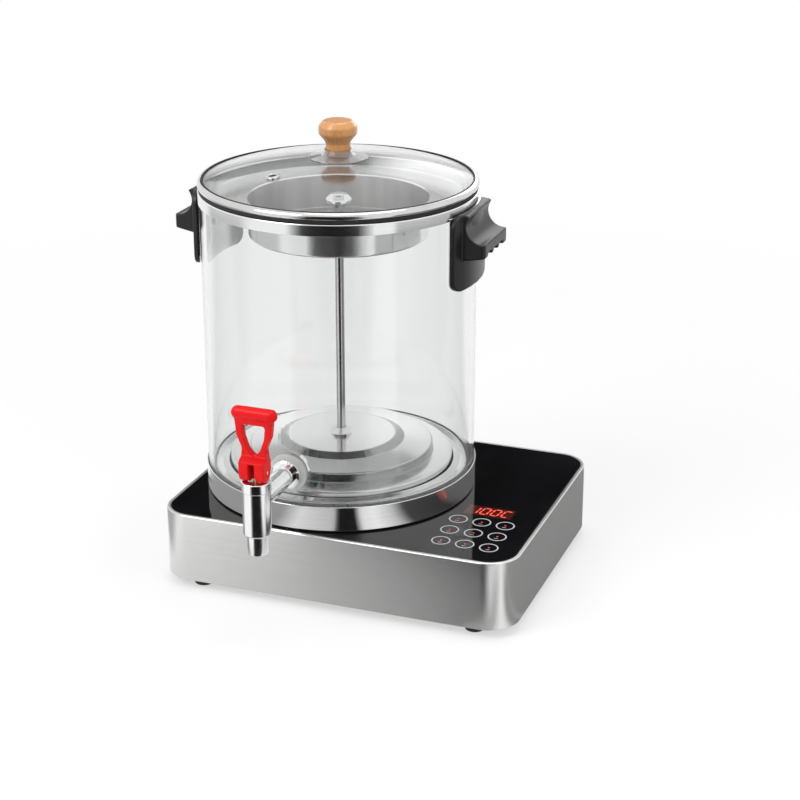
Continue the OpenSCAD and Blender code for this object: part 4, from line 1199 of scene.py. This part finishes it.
class TEABOILER_OT_brewing_set(bpy.types.Operator):
    """Basket, sieve, riser tube, bell and spray cap"""

    bl_idname = "tea_boiler.brewing_set"
    bl_label = "Brewing set"

    # Ends of the riser tube, which stands in the bell, and its outer radius, in millimetres
    tube_low = 44.7
    tube_top = 252.4
    tube_r = 4.0

    def execute(self, context):
        self.basket()
        tube = turned(tube_wall(self.tube_r - 1.0, self.tube_r, self.tube_low, self.tube_top, 0.3), POT, 64)
        piece("riser_pipe", tube, "brewing_set", pipe_steel, ["riser_tube"])
        self.sieve()
        self.bell()
        self.cap()
        return {"FINISHED"}

    def basket(self):
        """A lip on the pot's ring, a drop to a flange, and the wall with a turned-in edge for its floor."""
        lip_r = 115.5
        lip = 272.3
        drop_r = 111.7
        flange = 262.0
        floor = 231.2
        floor_hole_r = 70.5
        lip_top = lip + BASKET_SHEET
        flange_top = flange + BASKET_SHEET
        floor_top = floor + BASKET_SHEET
        inner_drop = drop_r - BASKET_SHEET
        inner_wall = BASKET_R - BASKET_SHEET
        basket = turned([
            (lip_r, lip, 0.3), (lip_r, lip_top, 0.3), (inner_drop, lip_top, 1.4),
            (inner_drop, flange_top, 1.2), (inner_wall, flange_top, 1.8), (inner_wall, floor_top, 1.6),
            (floor_hole_r, floor_top, 0.3), (floor_hole_r, floor, 0.3), (BASKET_R, floor, 2.4),
            (BASKET_R, flange, 1.0), (drop_r, flange, 2.0), (drop_r, lip, 0.6)], POT, POT_STEPS)
        piece("tea_basket_sheet", basket, "brewing_set", basket_steel,
              ["tea_basket", "basket_flange", "basket_rim"])

    def sieve(self):
        """The basket's floor, with round holes on a triangular pitch."""
        low = 232.05
        top = low + BASKET_SHEET
        tube_hole_r = self.tube_r + 0.15
        floor = turned([
            (tube_hole_r, low, 0.2), (SIEVE_R, low, 0.2), (SIEVE_R, top, 0.35),
            (tube_hole_r, top, 0.2)], POT, 128)
        pitch = 11 * MM
        row = pitch * math.sqrt(3) / 2
        hole_r = 2 * MM
        nearest = 9 * MM
        farthest = 68 * MM
        below = Vector((0, 0, 231 * MM))
        through = Vector((0, 0, 3 * MM))
        holes = []
        for i in range(-8, 9):
            for j in range(-8, 9):
                spot = Vector(((i + j / 2) * pitch, j * row, 0))
                if nearest < spot.length < farthest:
                    start = POT + spot + below
                    holes.append(rod(hole_r, start, start + through, 16))
        floor = combined(floor, merged(*holes), "DIFFERENCE")
        piece("basket_floor", floor, "brewing_set", basket_steel, ["basket_sieve"])

    def bell(self):
        """A stepped bell with a collar for the tube and six notches in its lower edge."""
        sheet = 0.8
        hole_r = self.tube_r + 0.1
        top = self.tube_low + sheet
        collar = 51.0
        shoulder = 41.5
        side = 39.0
        ring_inner = 30.5
        ring_outer = 30.0
        low = 7.8
        inner_side = BELL_SIDE_R - sheet
        inner_wall = BELL_R - sheet
        bell = turned([
            (hole_r, top - sheet, 0), (BELL_STEP_TOP_R - 0.5, top - sheet, 2.0),
            (BELL_STEP_FOOT_R - 0.3, shoulder - sheet, 2.0), (inner_side, side - sheet, 1.2),
            (inner_side, ring_inner - sheet, 1.6), (inner_wall, ring_outer - sheet, 1.2),
            (inner_wall, low, 0.3), (BELL_R, low, 0.3), (BELL_R, ring_outer, 2.0),
            (BELL_SIDE_R, ring_inner, 1.0), (BELL_SIDE_R, side, 2.0), (BELL_STEP_FOOT_R, shoulder, 2.4),
            (BELL_STEP_TOP_R, top, 2.4), (9.8, top, 1.0), (7.2, collar, 0.5), (hole_r, collar, 0.5)],
            POT, POT_STEPS)
        notch_low = ((BELL_R - 4) * MM, -6 * MM, 6 * MM)
        notch_high = ((BELL_R + 4) * MM, 6 * MM, 11.8 * MM)
        notches = []
        for i in range(6):
            notch = block(notch_low, notch_high)
            turn = Matrix.Translation(POT) @ Matrix.Rotation(math.radians(60 * i + 30), 4, "Z")
            bmesh.ops.transform(notch, matrix=turn, verts=notch.verts)
            notches.append(notch)
        bell = combined(bell, merged(*notches), "DIFFERENCE")
        piece("spun_bell", bell, "brewing_set", spun_steel, ["riser_bell"])

    def cap(self):
        """A mushroom on the tube's end, with windows through its neck that spray the water."""
        socket_r = self.tube_r + 0.05
        socket_top = 257.0
        neck_r = 5.2
        low = 249.4
        brim_r = 12.3
        brim = 258.0
        top = 265.8
        cap = turned([
            (0, socket_top, 0), (socket_r, socket_top, 0), (socket_r, low, 0.2), (neck_r, low, 0.3),
            (neck_r, brim, 0.5), (brim_r, brim, 0.3), (brim_r - 0.7, brim + 2.6, 2.5), (7.5, top - 1.2, 4.0),
            (0, top, 0)], POT, 96, False)
        window_low = (-7 * MM, -1.5 * MM, 252.9 * MM)
        window_high = (7 * MM, 1.5 * MM, 256.6 * MM)
        for turn in (0, math.pi / 2):
            bar = block(window_low, window_high)
            place = Matrix.Translation(POT) @ Matrix.Rotation(turn, 4, "Z")
            bmesh.ops.transform(bar, matrix=place, verts=bar.verts)
            cap = combined(cap, bar, "DIFFERENCE")
        piece("spray_dome", cap, "brewing_set", polished_steel, ["spray_cap"])


# The lid


class TEABOILER_OT_lid(bpy.types.Operator):
    """Domed glass, rolled rim, lip, gasket, wooden knob, its collar and the vent"""

    bl_idname = "tea_boiler.lid"
    bl_label = "Lid"

    # Radius of the dome, its glass and the underside of the rim over the hot plate, in millimetres
    dome_r = 400.0
    dome_t = 4.0
    rim_low = 275.0

    def execute(self, context):
        self.glass_top = (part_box("lid_glass")[1].z - POT.z) / MM
        self.glass()
        self.rim()
        gasket_low = 272.3
        gasket_r = 121.0
        gasket_hole_r = 116.3
        gasket = turned([
            (gasket_hole_r, gasket_low, 0.5), (gasket_r - 0.4, gasket_low, 0.8),
            (gasket_r, self.rim_low, 0.4), (gasket_hole_r, self.rim_low, 0.3)], POT, POT_STEPS)
        piece("black_gasket", gasket, "lid", black_rubber, ["lid_gasket"])
        self.knob()
        self.vent()
        return {"FINISHED"}

    def dome(self, radius, reach):
        """Height of a dome of that radius over the hot plate, at a distance from the axis, in millimetres."""
        centre = self.glass_top - self.dome_r
        return centre + math.sqrt(radius ** 2 - reach ** 2)

    def glass(self):
        rings = 24
        hole_r = 2.8
        edge_r = 118.9
        reaches = [hole_r + (edge_r - hole_r) * i / rings for i in range(rings + 1)]
        inside = self.dome_r - self.dome_t
        points = [(reach, self.dome(self.dome_r, reach), 0) for reach in reaches]
        points += [(reach, self.dome(inside, reach), 0) for reach in reversed(reaches)]
        bm = turned(points, POT, POT_STEPS)
        vent_hole_r = 4.1
        drill = lathe(in_mm([(0, -10), (vent_hole_r, -10), (vent_hole_r, 5), (0, 5)]), 48, False)
        bmesh.ops.transform(drill, matrix=self.vent_place(), verts=drill.verts)
        bm = combined(bm, drill, "DIFFERENCE")
        piece("domed_glass", bm, "lid", clear_glass, ["lid_glass"])

    def rim(self):
        """A rolled steel rim with a groove for the glass, and a thin black lip where they meet."""
        seat_r = 115.0
        rim_r = 121.6
        groove_r = 119.1
        mouth_r = 117.6
        low = self.rim_low
        top = 281.1
        mouth = top - 0.6
        rim = turned([
            (seat_r, low, 1.4), (rim_r, low, 2.2), (rim_r, top, 3.4), (mouth_r, top, 0.4),
            (mouth_r, mouth, 0.1), (groove_r, top - 1.0, 0), (groove_r, low + 0.9, 0),
            (seat_r, low + 1.3, 0.3)], POT, POT_STEPS)
        piece("rolled_rim", rim, "lid", pipe_steel, ["lid_rim"])
        lip = turned([
            (mouth_r - 1.4, mouth, 0.2), (mouth_r, mouth, 0.1), (mouth_r + 0.3, top + 0.4, 0.3),
            (mouth_r - 1.1, top + 0.5, 0.3)], POT, POT_STEPS)
        piece("rim_lip", lip, "lid", black_rubber)

    def knob(self):
        """A waisted wooden knob in a flared collar on the dome."""
        low = self.glass_top + 7.6
        neck_r = 10.6
        screw_r = 2.55
        top = low + 24.5
        knob = turned([
            (0, top, 0), (12.8, top, 3.2), (16.6, low + 19.6, 4.4), (16.7, low + 13.2, 4.2),
            (12.2, low + 8.0, 3.0), (neck_r, low + 5.0, 3.2), (neck_r, low - 7.2, 0.4),
            (screw_r, low - 7.2, 0), (screw_r, low + 15, 0), (0, low + 15, 0)], POT, 96, False, 7)
        piece("wooden_knob", knob, "lid", beech, ["lid_knob"], sharp=50.0)
        skirt_r = 26.0
        skirt = self.dome(self.dome_r + 0.1, skirt_r)
        hole_r = neck_r + 0.2
        collar = turned([
            (hole_r, low - 0.2, 0.3), (11.6, low, 0.3), (13.8, low - 4.6, 4.0),
            (skirt_r - 0.6, skirt + 1.2, 0.4), (skirt_r, skirt, 0.3), (skirt_r - 1.4, skirt + 0.2, 0.3),
            (13.0, low - 5.4, 4.0), (hole_r, low - 1.2, 0.2)], POT, 96)
        piece("knob_collar_disc", collar, "lid", knob_collar, ["knob_plate"], sharp=40.0)

    def vent_place(self):
        """Where the vent sits on the dome: its axis is square to the glass there."""
        low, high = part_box("vent_eyelet")
        flat = (low + high) / 2 - POT
        flat.z = 0
        radius = self.dome_r * MM
        centre = POT + Vector((0, 0, self.glass_top * MM - radius))
        normal = Vector((flat.x, flat.y, math.sqrt(radius ** 2 - flat.length ** 2))).normalized()
        turn = Vector((0, 0, 1)).rotation_difference(normal).to_matrix().to_4x4()
        return Matrix.Translation(centre + normal * radius) @ turn

    def vent(self):
        """An eyelet with a flat flange under the glass and a domed one over it."""
        bore = 3.0
        neck_r = 4.0
        flange_r = 6.3
        bm = lathe(softened(in_mm([
            (bore, -4.9, 0.3), (flange_r, -4.9, 0.3), (flange_r, -4.1, 0.3), (neck_r, -4.1, 0),
            (neck_r, 0.1, 0), (flange_r, 0.1, 0.3), (flange_r - 0.1, 0.9, 0.5), (neck_r + 0.2, 1.5, 0.8),
            (bore, 1.1, 0.5)])), 64)
        bmesh.ops.transform(bm, matrix=self.vent_place(), verts=bm.verts)
        piece("vent_bush", bm, "lid", pipe_steel, ["vent_eyelet"], sharp=40.0)


class TEABOILER_OT_inner_parts(bpy.types.Operator):
    """Finishes for the inner pieces that keep their own solids, and the valve's spring"""

    bl_idname = "tea_boiler.inner_parts"
    bl_label = "Inner parts"

    finishes = {
        "base_bottom_plate": dark_paint, "bottom_screws": plain_metal, "heater_dish": chalky_fibre,
        "heater_coil": heat_ribbon, "heat_limiter": plain_metal, "heater_bracket": plain_metal,
        "control_board": board_green, "display_module": dim_red, "touch_key_springs": turned_brass,
        "fan_frame": black_plastic, "fan_rotor": black_plastic, "heat_disc": plain_metal,
        "bottom_seal": clear_silicone, "ring_seal": clear_silicone, "handle_screws": plain_metal,
        "tap_outer_washer": clear_silicone, "tap_inner_washer": clear_silicone, "tap_nut": polished_steel,
        "lever_pin": polished_steel, "valve_stem": turned_brass, "valve_cup": clear_silicone,
        "knob_screw": plain_metal,
    }

    def execute(self, context):
        for node, make in self.finishes.items():
            obj = frame["nodes"][node]
            obj.data.materials.clear()
            obj.data.materials.append(finish_of(make))
        self.spring()
        return {"FINISHED"}

    def spring(self):
        """The coil that the rising valve presses together against the bonnet, copied from its solid as it
        stands, unpressed.
        """
        low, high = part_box("valve_spring")
        slide = next(joint for joint in frame["joints"] if joint["name"] == "valve_slide")
        pressed = slide["range_m"][1] / (high.z - low.z)
        bm = copied("valve_spring")
        coil = piece("valve_coil", bm, "pot", plain_metal, ["valve_spring"], sharp=38.0)
        1 - pressed
        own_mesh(coil)


# The stage


# Soft lamps, in metres and watts; a mirrored one shows in the steel
LAMPS = {
    "key_lamp": dict(place=(-1.1, -1.5, 1.9), size=1.5, energy=26.0, mirrored=True),
    "side_lamp": dict(place=(1.7, -0.9, 1.4), size=0.9, energy=9.0, mirrored=False),
    "top_lamp": dict(place=(0.1, 0.3, 2.3), size=1.4, energy=14.0, mirrored=True),
}

# Tone of the dark cards
DARK = 0.01

# Cards that put stripes into the steel. Half holds their half sizes, and crisp the sharpness of their edges.
# Steel and glass say whether the steel outside the pot, and what is seen through its glass, mirror the card
CARDS = {
    "front_card": dict(
        place=(-0.018, -0.174, 0.004), half=(0.20, 0.15), turn=-25.0, standing=False, tone=0.0, crisp=3.0,
        growing=True),
    "back_card": dict(place=(-0.89, 2.18, 1.09), half=(0.8, 0.24), crisp=6.0),
    "glow_card": dict(place=(0.04, 0.36, 0.485), half=(0.16, 0.095), tone=2.6),
    "bell_card": dict(
        place=(-0.88, 2.20, 0.80), half=(0.70, 0.30), tone=1.35, crisp=1.2, steel=False, glass=True),
    "flange_card": dict(
        place=(-0.30, 0.60, 0.53), half=(0.34, 0.11), tone=0.25, share=0.75, crisp=2.0, steel=False,
        glass=True),
    "camera_card": dict(place=(0.66, -2.35, 0.75), half=(1.25, 0.80), turn=16.0, crisp=1.8, glass=True),
}

# Dark cards on the floor that fan out towards the camera from a point in front of the pot's axis.
# Reach is where a card starts, is full and ends
WEDGE_POINT = 0.08
WEDGES = {
    "camera_wedge": dict(
        height=0.003, turn=16.0, spread=36.0, reach=(0.19, 0.23, 2.6), crisp=1.5, steel=True),
    "tube_wedge": dict(
        height=0.006, turn=22.0, spread=40.0, reach=(0.15, 0.25, 1.0), crisp=1.0, steel=False),
}

# Cards that lie round the pot. A stop is a direction in degrees right of the front, a tone and a cover
FANS = {
    "side_fan": dict(height=0.007, reach=(0.2, 1.4), glass=True, stops=(
        (-108, DARK, 0.0), (-98, DARK, 0.5), (-62, DARK, 0.5), (-50, DARK, 0.0), (64, DARK, 0.0),
        (68, DARK, 0.7), (136, DARK, 0.7), (146, DARK, 0.0))),
    "corner_fan": dict(height=0.006, reach=(0.2, 0.34), glass=False, stops=(
        (46, DARK, 0.0), (52, DARK, 0.5), (55, DARK, 0.5), (57, DARK, 0.0), (60, DARK, 0.0),
        (62.5, DARK, 0.7), (65, DARK, 0.7), (68, DARK, 0.0))),
    "band_fan": dict(height=POT.z + 1.2 * MM, reach=(0.1222, 0.20), glass=False, stops=(
        (-70, 0.35, 0.0), (-60, 0.35, 1.0), (-8.5, 0.32, 1.0), (1, 0.80, 1.0), (12, 0.64, 1.0),
        (18, 0.56, 1.0), (20, DARK, 1.0), (28.5, DARK, 1.0), (31.5, 0.85, 1.0), (38, 0.95, 1.0),
        (47, 0.60, 1.0), (54, 0.05, 1.0), (75, 0.03, 1.0), (85, 0.03, 0.0))),
}


class TEABOILER_OT_stage(bpy.types.Operator):
    """Pale floor, soft lamps, cards for the steel's reflections, and the camera"""

    bl_idname = "tea_boiler.stage"
    bl_label = "Stage"

    def execute(self, context):
        scene = context.scene
        scene.view_settings.view_transform = "Standard"
        self.world(scene)
        self.floor()
        for name, settings in LAMPS.items():
            self.lamp(name, **settings)
        for name, settings in CARDS.items():
            self.card(name, **settings)
        for name, settings in WEDGES.items():
            self.wedge(name, **settings)
        for name, settings in FANS.items():
            self.fan(name, **settings)
        self.camera(scene, scene.tea_boiler_stage)
        return {"FINISHED"}

    def camera(self, scene, stage):
        camera = bpy.data.cameras.new("photo_camera")
        camera.lens = stage.lens
        camera.sensor_width = 36.0
        camera.clip_end = 50.0
        holder = bpy.data.objects.new("photo_camera", camera)
        holder.location = POT + Vector(stage.camera_from_pot)
        holder.rotation_euler = (math.pi / 2 - stage.camera_tilt, 0.0, stage.camera_turn)
        scene.collection.objects.link(holder)
        scene.camera = holder

    def world(self, scene):
        """A white surround, dimmer as a light than it looks."""
        world = bpy.data.worlds.new("studio")
        scene.world = world
        f = Finish(world)
        lighting = 0.62
        level = lighting + self.seen_rays(f) * (1.0 - lighting)
        background = f.node("ShaderNodeBackground", {}, {"Color": (1.0, 1.0, 1.0, 1.0), "Strength": level})
        f.node("ShaderNodeOutputWorld", {}, {"Surface": background})

    def seen_rays(self, f):
        """1 for rays that show the background directly, in steel or through glass, and 0 for the rest."""
        kinds = [f.node("ShaderNodeLightPath", {}, {}, kind)
                 for kind in ("Is Camera Ray", "Is Glossy Ray", "Is Transmission Ray")]
        return (kinds[0] + kinds[1] + kinds[2]).clamped(0.0, 1.0)

    def floor(self):
        """A pale floor that turns to white away from the pot and keeps the object's shadow."""
        bm = bmesh.new()
        bmesh.ops.create_grid(bm, x_segments=2, y_segments=2, size=9.0)
        floor = object_from(bm, "floor")
        f = new_finish("pale_floor")
        grain = f.noise(3.0, 2.0)
        tone = f.ramp(grain, (0.3, (0.90, 0.90, 0.90)), (0.7, (0.92, 0.92, 0.92)))
        matt = f.node("ShaderNodeBsdfDiffuse", {}, {"Color": tone})
        white = f.node("ShaderNodeEmission", {}, {"Color": (1.0, 1.0, 1.0, 1.0), "Strength": 1.0})
        fade_start = 0.3
        fade_length = 0.9
        glow = 0.58
        away = ((f.from_axis(POT) - fade_start) / fade_length).clamped(0.0, 1.0)
        share = self.seen_rays(f) * (glow + away * (1.0 - glow))
        mixed = f.node("ShaderNodeMixShader", {}, {0: share, 1: matt, 2: white})
        f.node("ShaderNodeOutputMaterial", {}, {"Surface": mixed})
        floor.data.materials.append(f.owner)

    def lamp(self, name, place, size, energy, mirrored):
        """A round soft lamp that shines at the object's middle."""
        light = bpy.data.lights.new(name, "AREA")
        light.shape = "DISK"
        light.size = size
        light.energy = energy
        lamp = bpy.data.objects.new(name, light)
        lamp.location = place
        middle = Vector((0, 0, 0.2))
        lamp.rotation_euler = (middle - Vector(place)).to_track_quat("-Z", "Y").to_euler()
        lamp.visible_camera = False
        lamp.visible_glossy = mirrored
        lamp.visible_transmission = False
        bpy.context.scene.collection.objects.link(lamp)

    def card(self, name, place, half, turn=0.0, standing=True, tone=DARK, share=1.0, crisp=1.5, growing=False,
             steel=True, glass=False):
        """A card with soft edges that only reflections see, lying on the floor or standing up."""
        bm = bmesh.new()
        bmesh.ops.create_grid(bm, x_segments=1, y_segments=1, size=1.0)
        reach = max(vert.co.x for vert in bm.verts)
        bmesh.ops.scale(bm, vec=(half[0] / reach, half[1] / reach, 1), verts=bm.verts)
        card = object_from(bm, name)
        card.location = place
        card.rotation_euler = (math.pi / 2 if standing else 0.0, 0.0, math.radians(turn))
        f = new_finish(name + "_cloth")
        across = f.coordinate("X") / half[0]
        along = f.coordinate("Y") / half[1]
        along_2 = along * along
        cover = ((1.0 - across * across - along_2 * along_2) * crisp).clamped(0.0, 1.0) * share
        if growing:
            cover = cover * (across * 0.5 + 0.5)
        self.dress(f, card, cover, tone, steel, glass)

    def wedge(self, name, height, turn, spread, reach, crisp, steel):
        """A card on the floor that fans out from the pot towards the camera, black along its middle."""
        start, full, end = reach
        lean = math.tan(math.radians(spread))
        near = start * lean
        far = end * lean
        bm = bmesh.new()
        corners = ((-near, -start, 0), (-far, -end, 0), (far, -end, 0), (near, -start, 0))
        bm.faces.new([bm.verts.new(corner) for corner in corners])
        card = object_from(bm, name)
        card.location = (POT.x, POT.y - WEDGE_POINT, height)
        card.rotation_euler = (0.0, 0.0, math.radians(turn))
        f = new_finish(name + "_cloth")
        ahead = f.coordinate("Y") * -1.0
        slant = f.coordinate("X") / (ahead * lean)
        grown = ((ahead - start) / (full - start)).clamped(0.0, 1.0)
        cover = ((1.0 - slant * slant) * crisp).clamped(0.0, 1.0) * grown
        self.dress(f, card, cover, DARK, steel, True)

    def fan(self, name, height, reach, glass, stops):
        """A flat ring about the pot, seen from above only, whose tone changes with the direction."""
        inner, outer = reach
        bm = lathe([(inner, 0), (outer, 0)], 96, False)
        downward = [face for face in bm.faces if face.normal.z < 0]
        bmesh.ops.reverse_faces(bm, faces=downward)
        card = object_from(bm, name)
        card.location = (POT.x, POT.y, height)
        f = new_finish(name + "_cloth")
        ahead = f.coordinate("Y") * -1.0
        angle = f.node("ShaderNodeMath", {"operation": "ARCTAN2"}, {0: f.coordinate("X"), 1: ahead})
        places = [((direction + 180) / 360, (tone, cover, 0.0)) for direction, tone, cover in stops]
        mixed = f.ramp(angle / FULL_TURN + 0.5, *places)
        tone = f.node("ShaderNodeSeparateColor", {}, {0: mixed}, "Red")
        cover = f.node("ShaderNodeSeparateColor", {}, {0: mixed}, "Green")
        above = 1.0 - f.node("ShaderNodeNewGeometry", {}, {}, "Backfacing")
        self.dress(f, card, cover * above, tone, True, glass)

    def dress(self, f, card, cover, tone, steel, glass):
        """Gives a card its cloth, which only rays that have met a polished face can see."""
        bounces = f.node("ShaderNodeLightPath", {}, {}, "Glossy Depth").clamped(0.0, 1.0)
        clear = f.node("ShaderNodeBsdfTransparent")
        shade = tone if isinstance(tone, Wire) else (tone, tone, tone, 1.0)
        cloth = f.node("ShaderNodeEmission", {}, {"Color": shade, "Strength": 1.0})
        mixed = f.node("ShaderNodeMixShader", {}, {0: cover * bounces, 1: clear, 2: cloth})
        f.node("ShaderNodeOutputMaterial", {}, {"Surface": mixed})
        card.data.materials.append(f.owner)
        card.visible_camera = False
        card.visible_diffuse = False
        card.visible_shadow = False
        card.visible_glossy = steel
        card.visible_transmission = glass


class TEABOILER_PT_panel(bpy.types.Panel):
    """Lists the tea boiler's pieces in the sidebar"""

    bl_idname = "TEABOILER_PT_panel"
    bl_label = "Tea boiler"
    bl_space_type = "VIEW_3D"
    bl_region_type = "UI"
    bl_category = "Tea boiler"

    def draw(self, context):
        for operator in OPERATORS:
            self.layout.operator(operator.bl_idname)
        for group in GROUPS:
            settings = getattr(context.scene, group)
            for name in settings.__annotations__:
                self.layout.prop(settings, name)


OPERATORS = (
    TEABOILER_OT_base, TEABOILER_OT_panel, TEABOILER_OT_pot, TEABOILER_OT_handles, TEABOILER_OT_tap,
    TEABOILER_OT_lever, TEABOILER_OT_brewing_set, TEABOILER_OT_lid, TEABOILER_OT_inner_parts,
    TEABOILER_OT_stage,
)
GROUPS = {
    "tea_boiler_colours": TeaBoilerColours,
    "tea_boiler_sizes": TeaBoilerSizes,
    "tea_boiler_stage": TeaBoilerStage,
}


def register():
    for name, group in GROUPS.items():
        bpy.utils.register_class(group)
        setattr(bpy.types.Scene, name, bpy.props.PointerProperty(type=group))
    for operator in OPERATORS:
        bpy.utils.register_class(operator)
    bpy.utils.register_class(TEABOILER_PT_panel)


def unregister():
    bpy.utils.unregister_class(TEABOILER_PT_panel)
    for operator in reversed(OPERATORS):
        bpy.utils.unregister_class(operator)
    for name, group in GROUPS.items():
        delattr(bpy.types.Scene, name)
        bpy.utils.unregister_class(group)


def main():
    register()
    for operator in OPERATORS:
        group, name = operator.bl_idname.split(".")
        getattr(getattr(bpy.ops, group), name)()


if __name__ == "__main__":
    main()
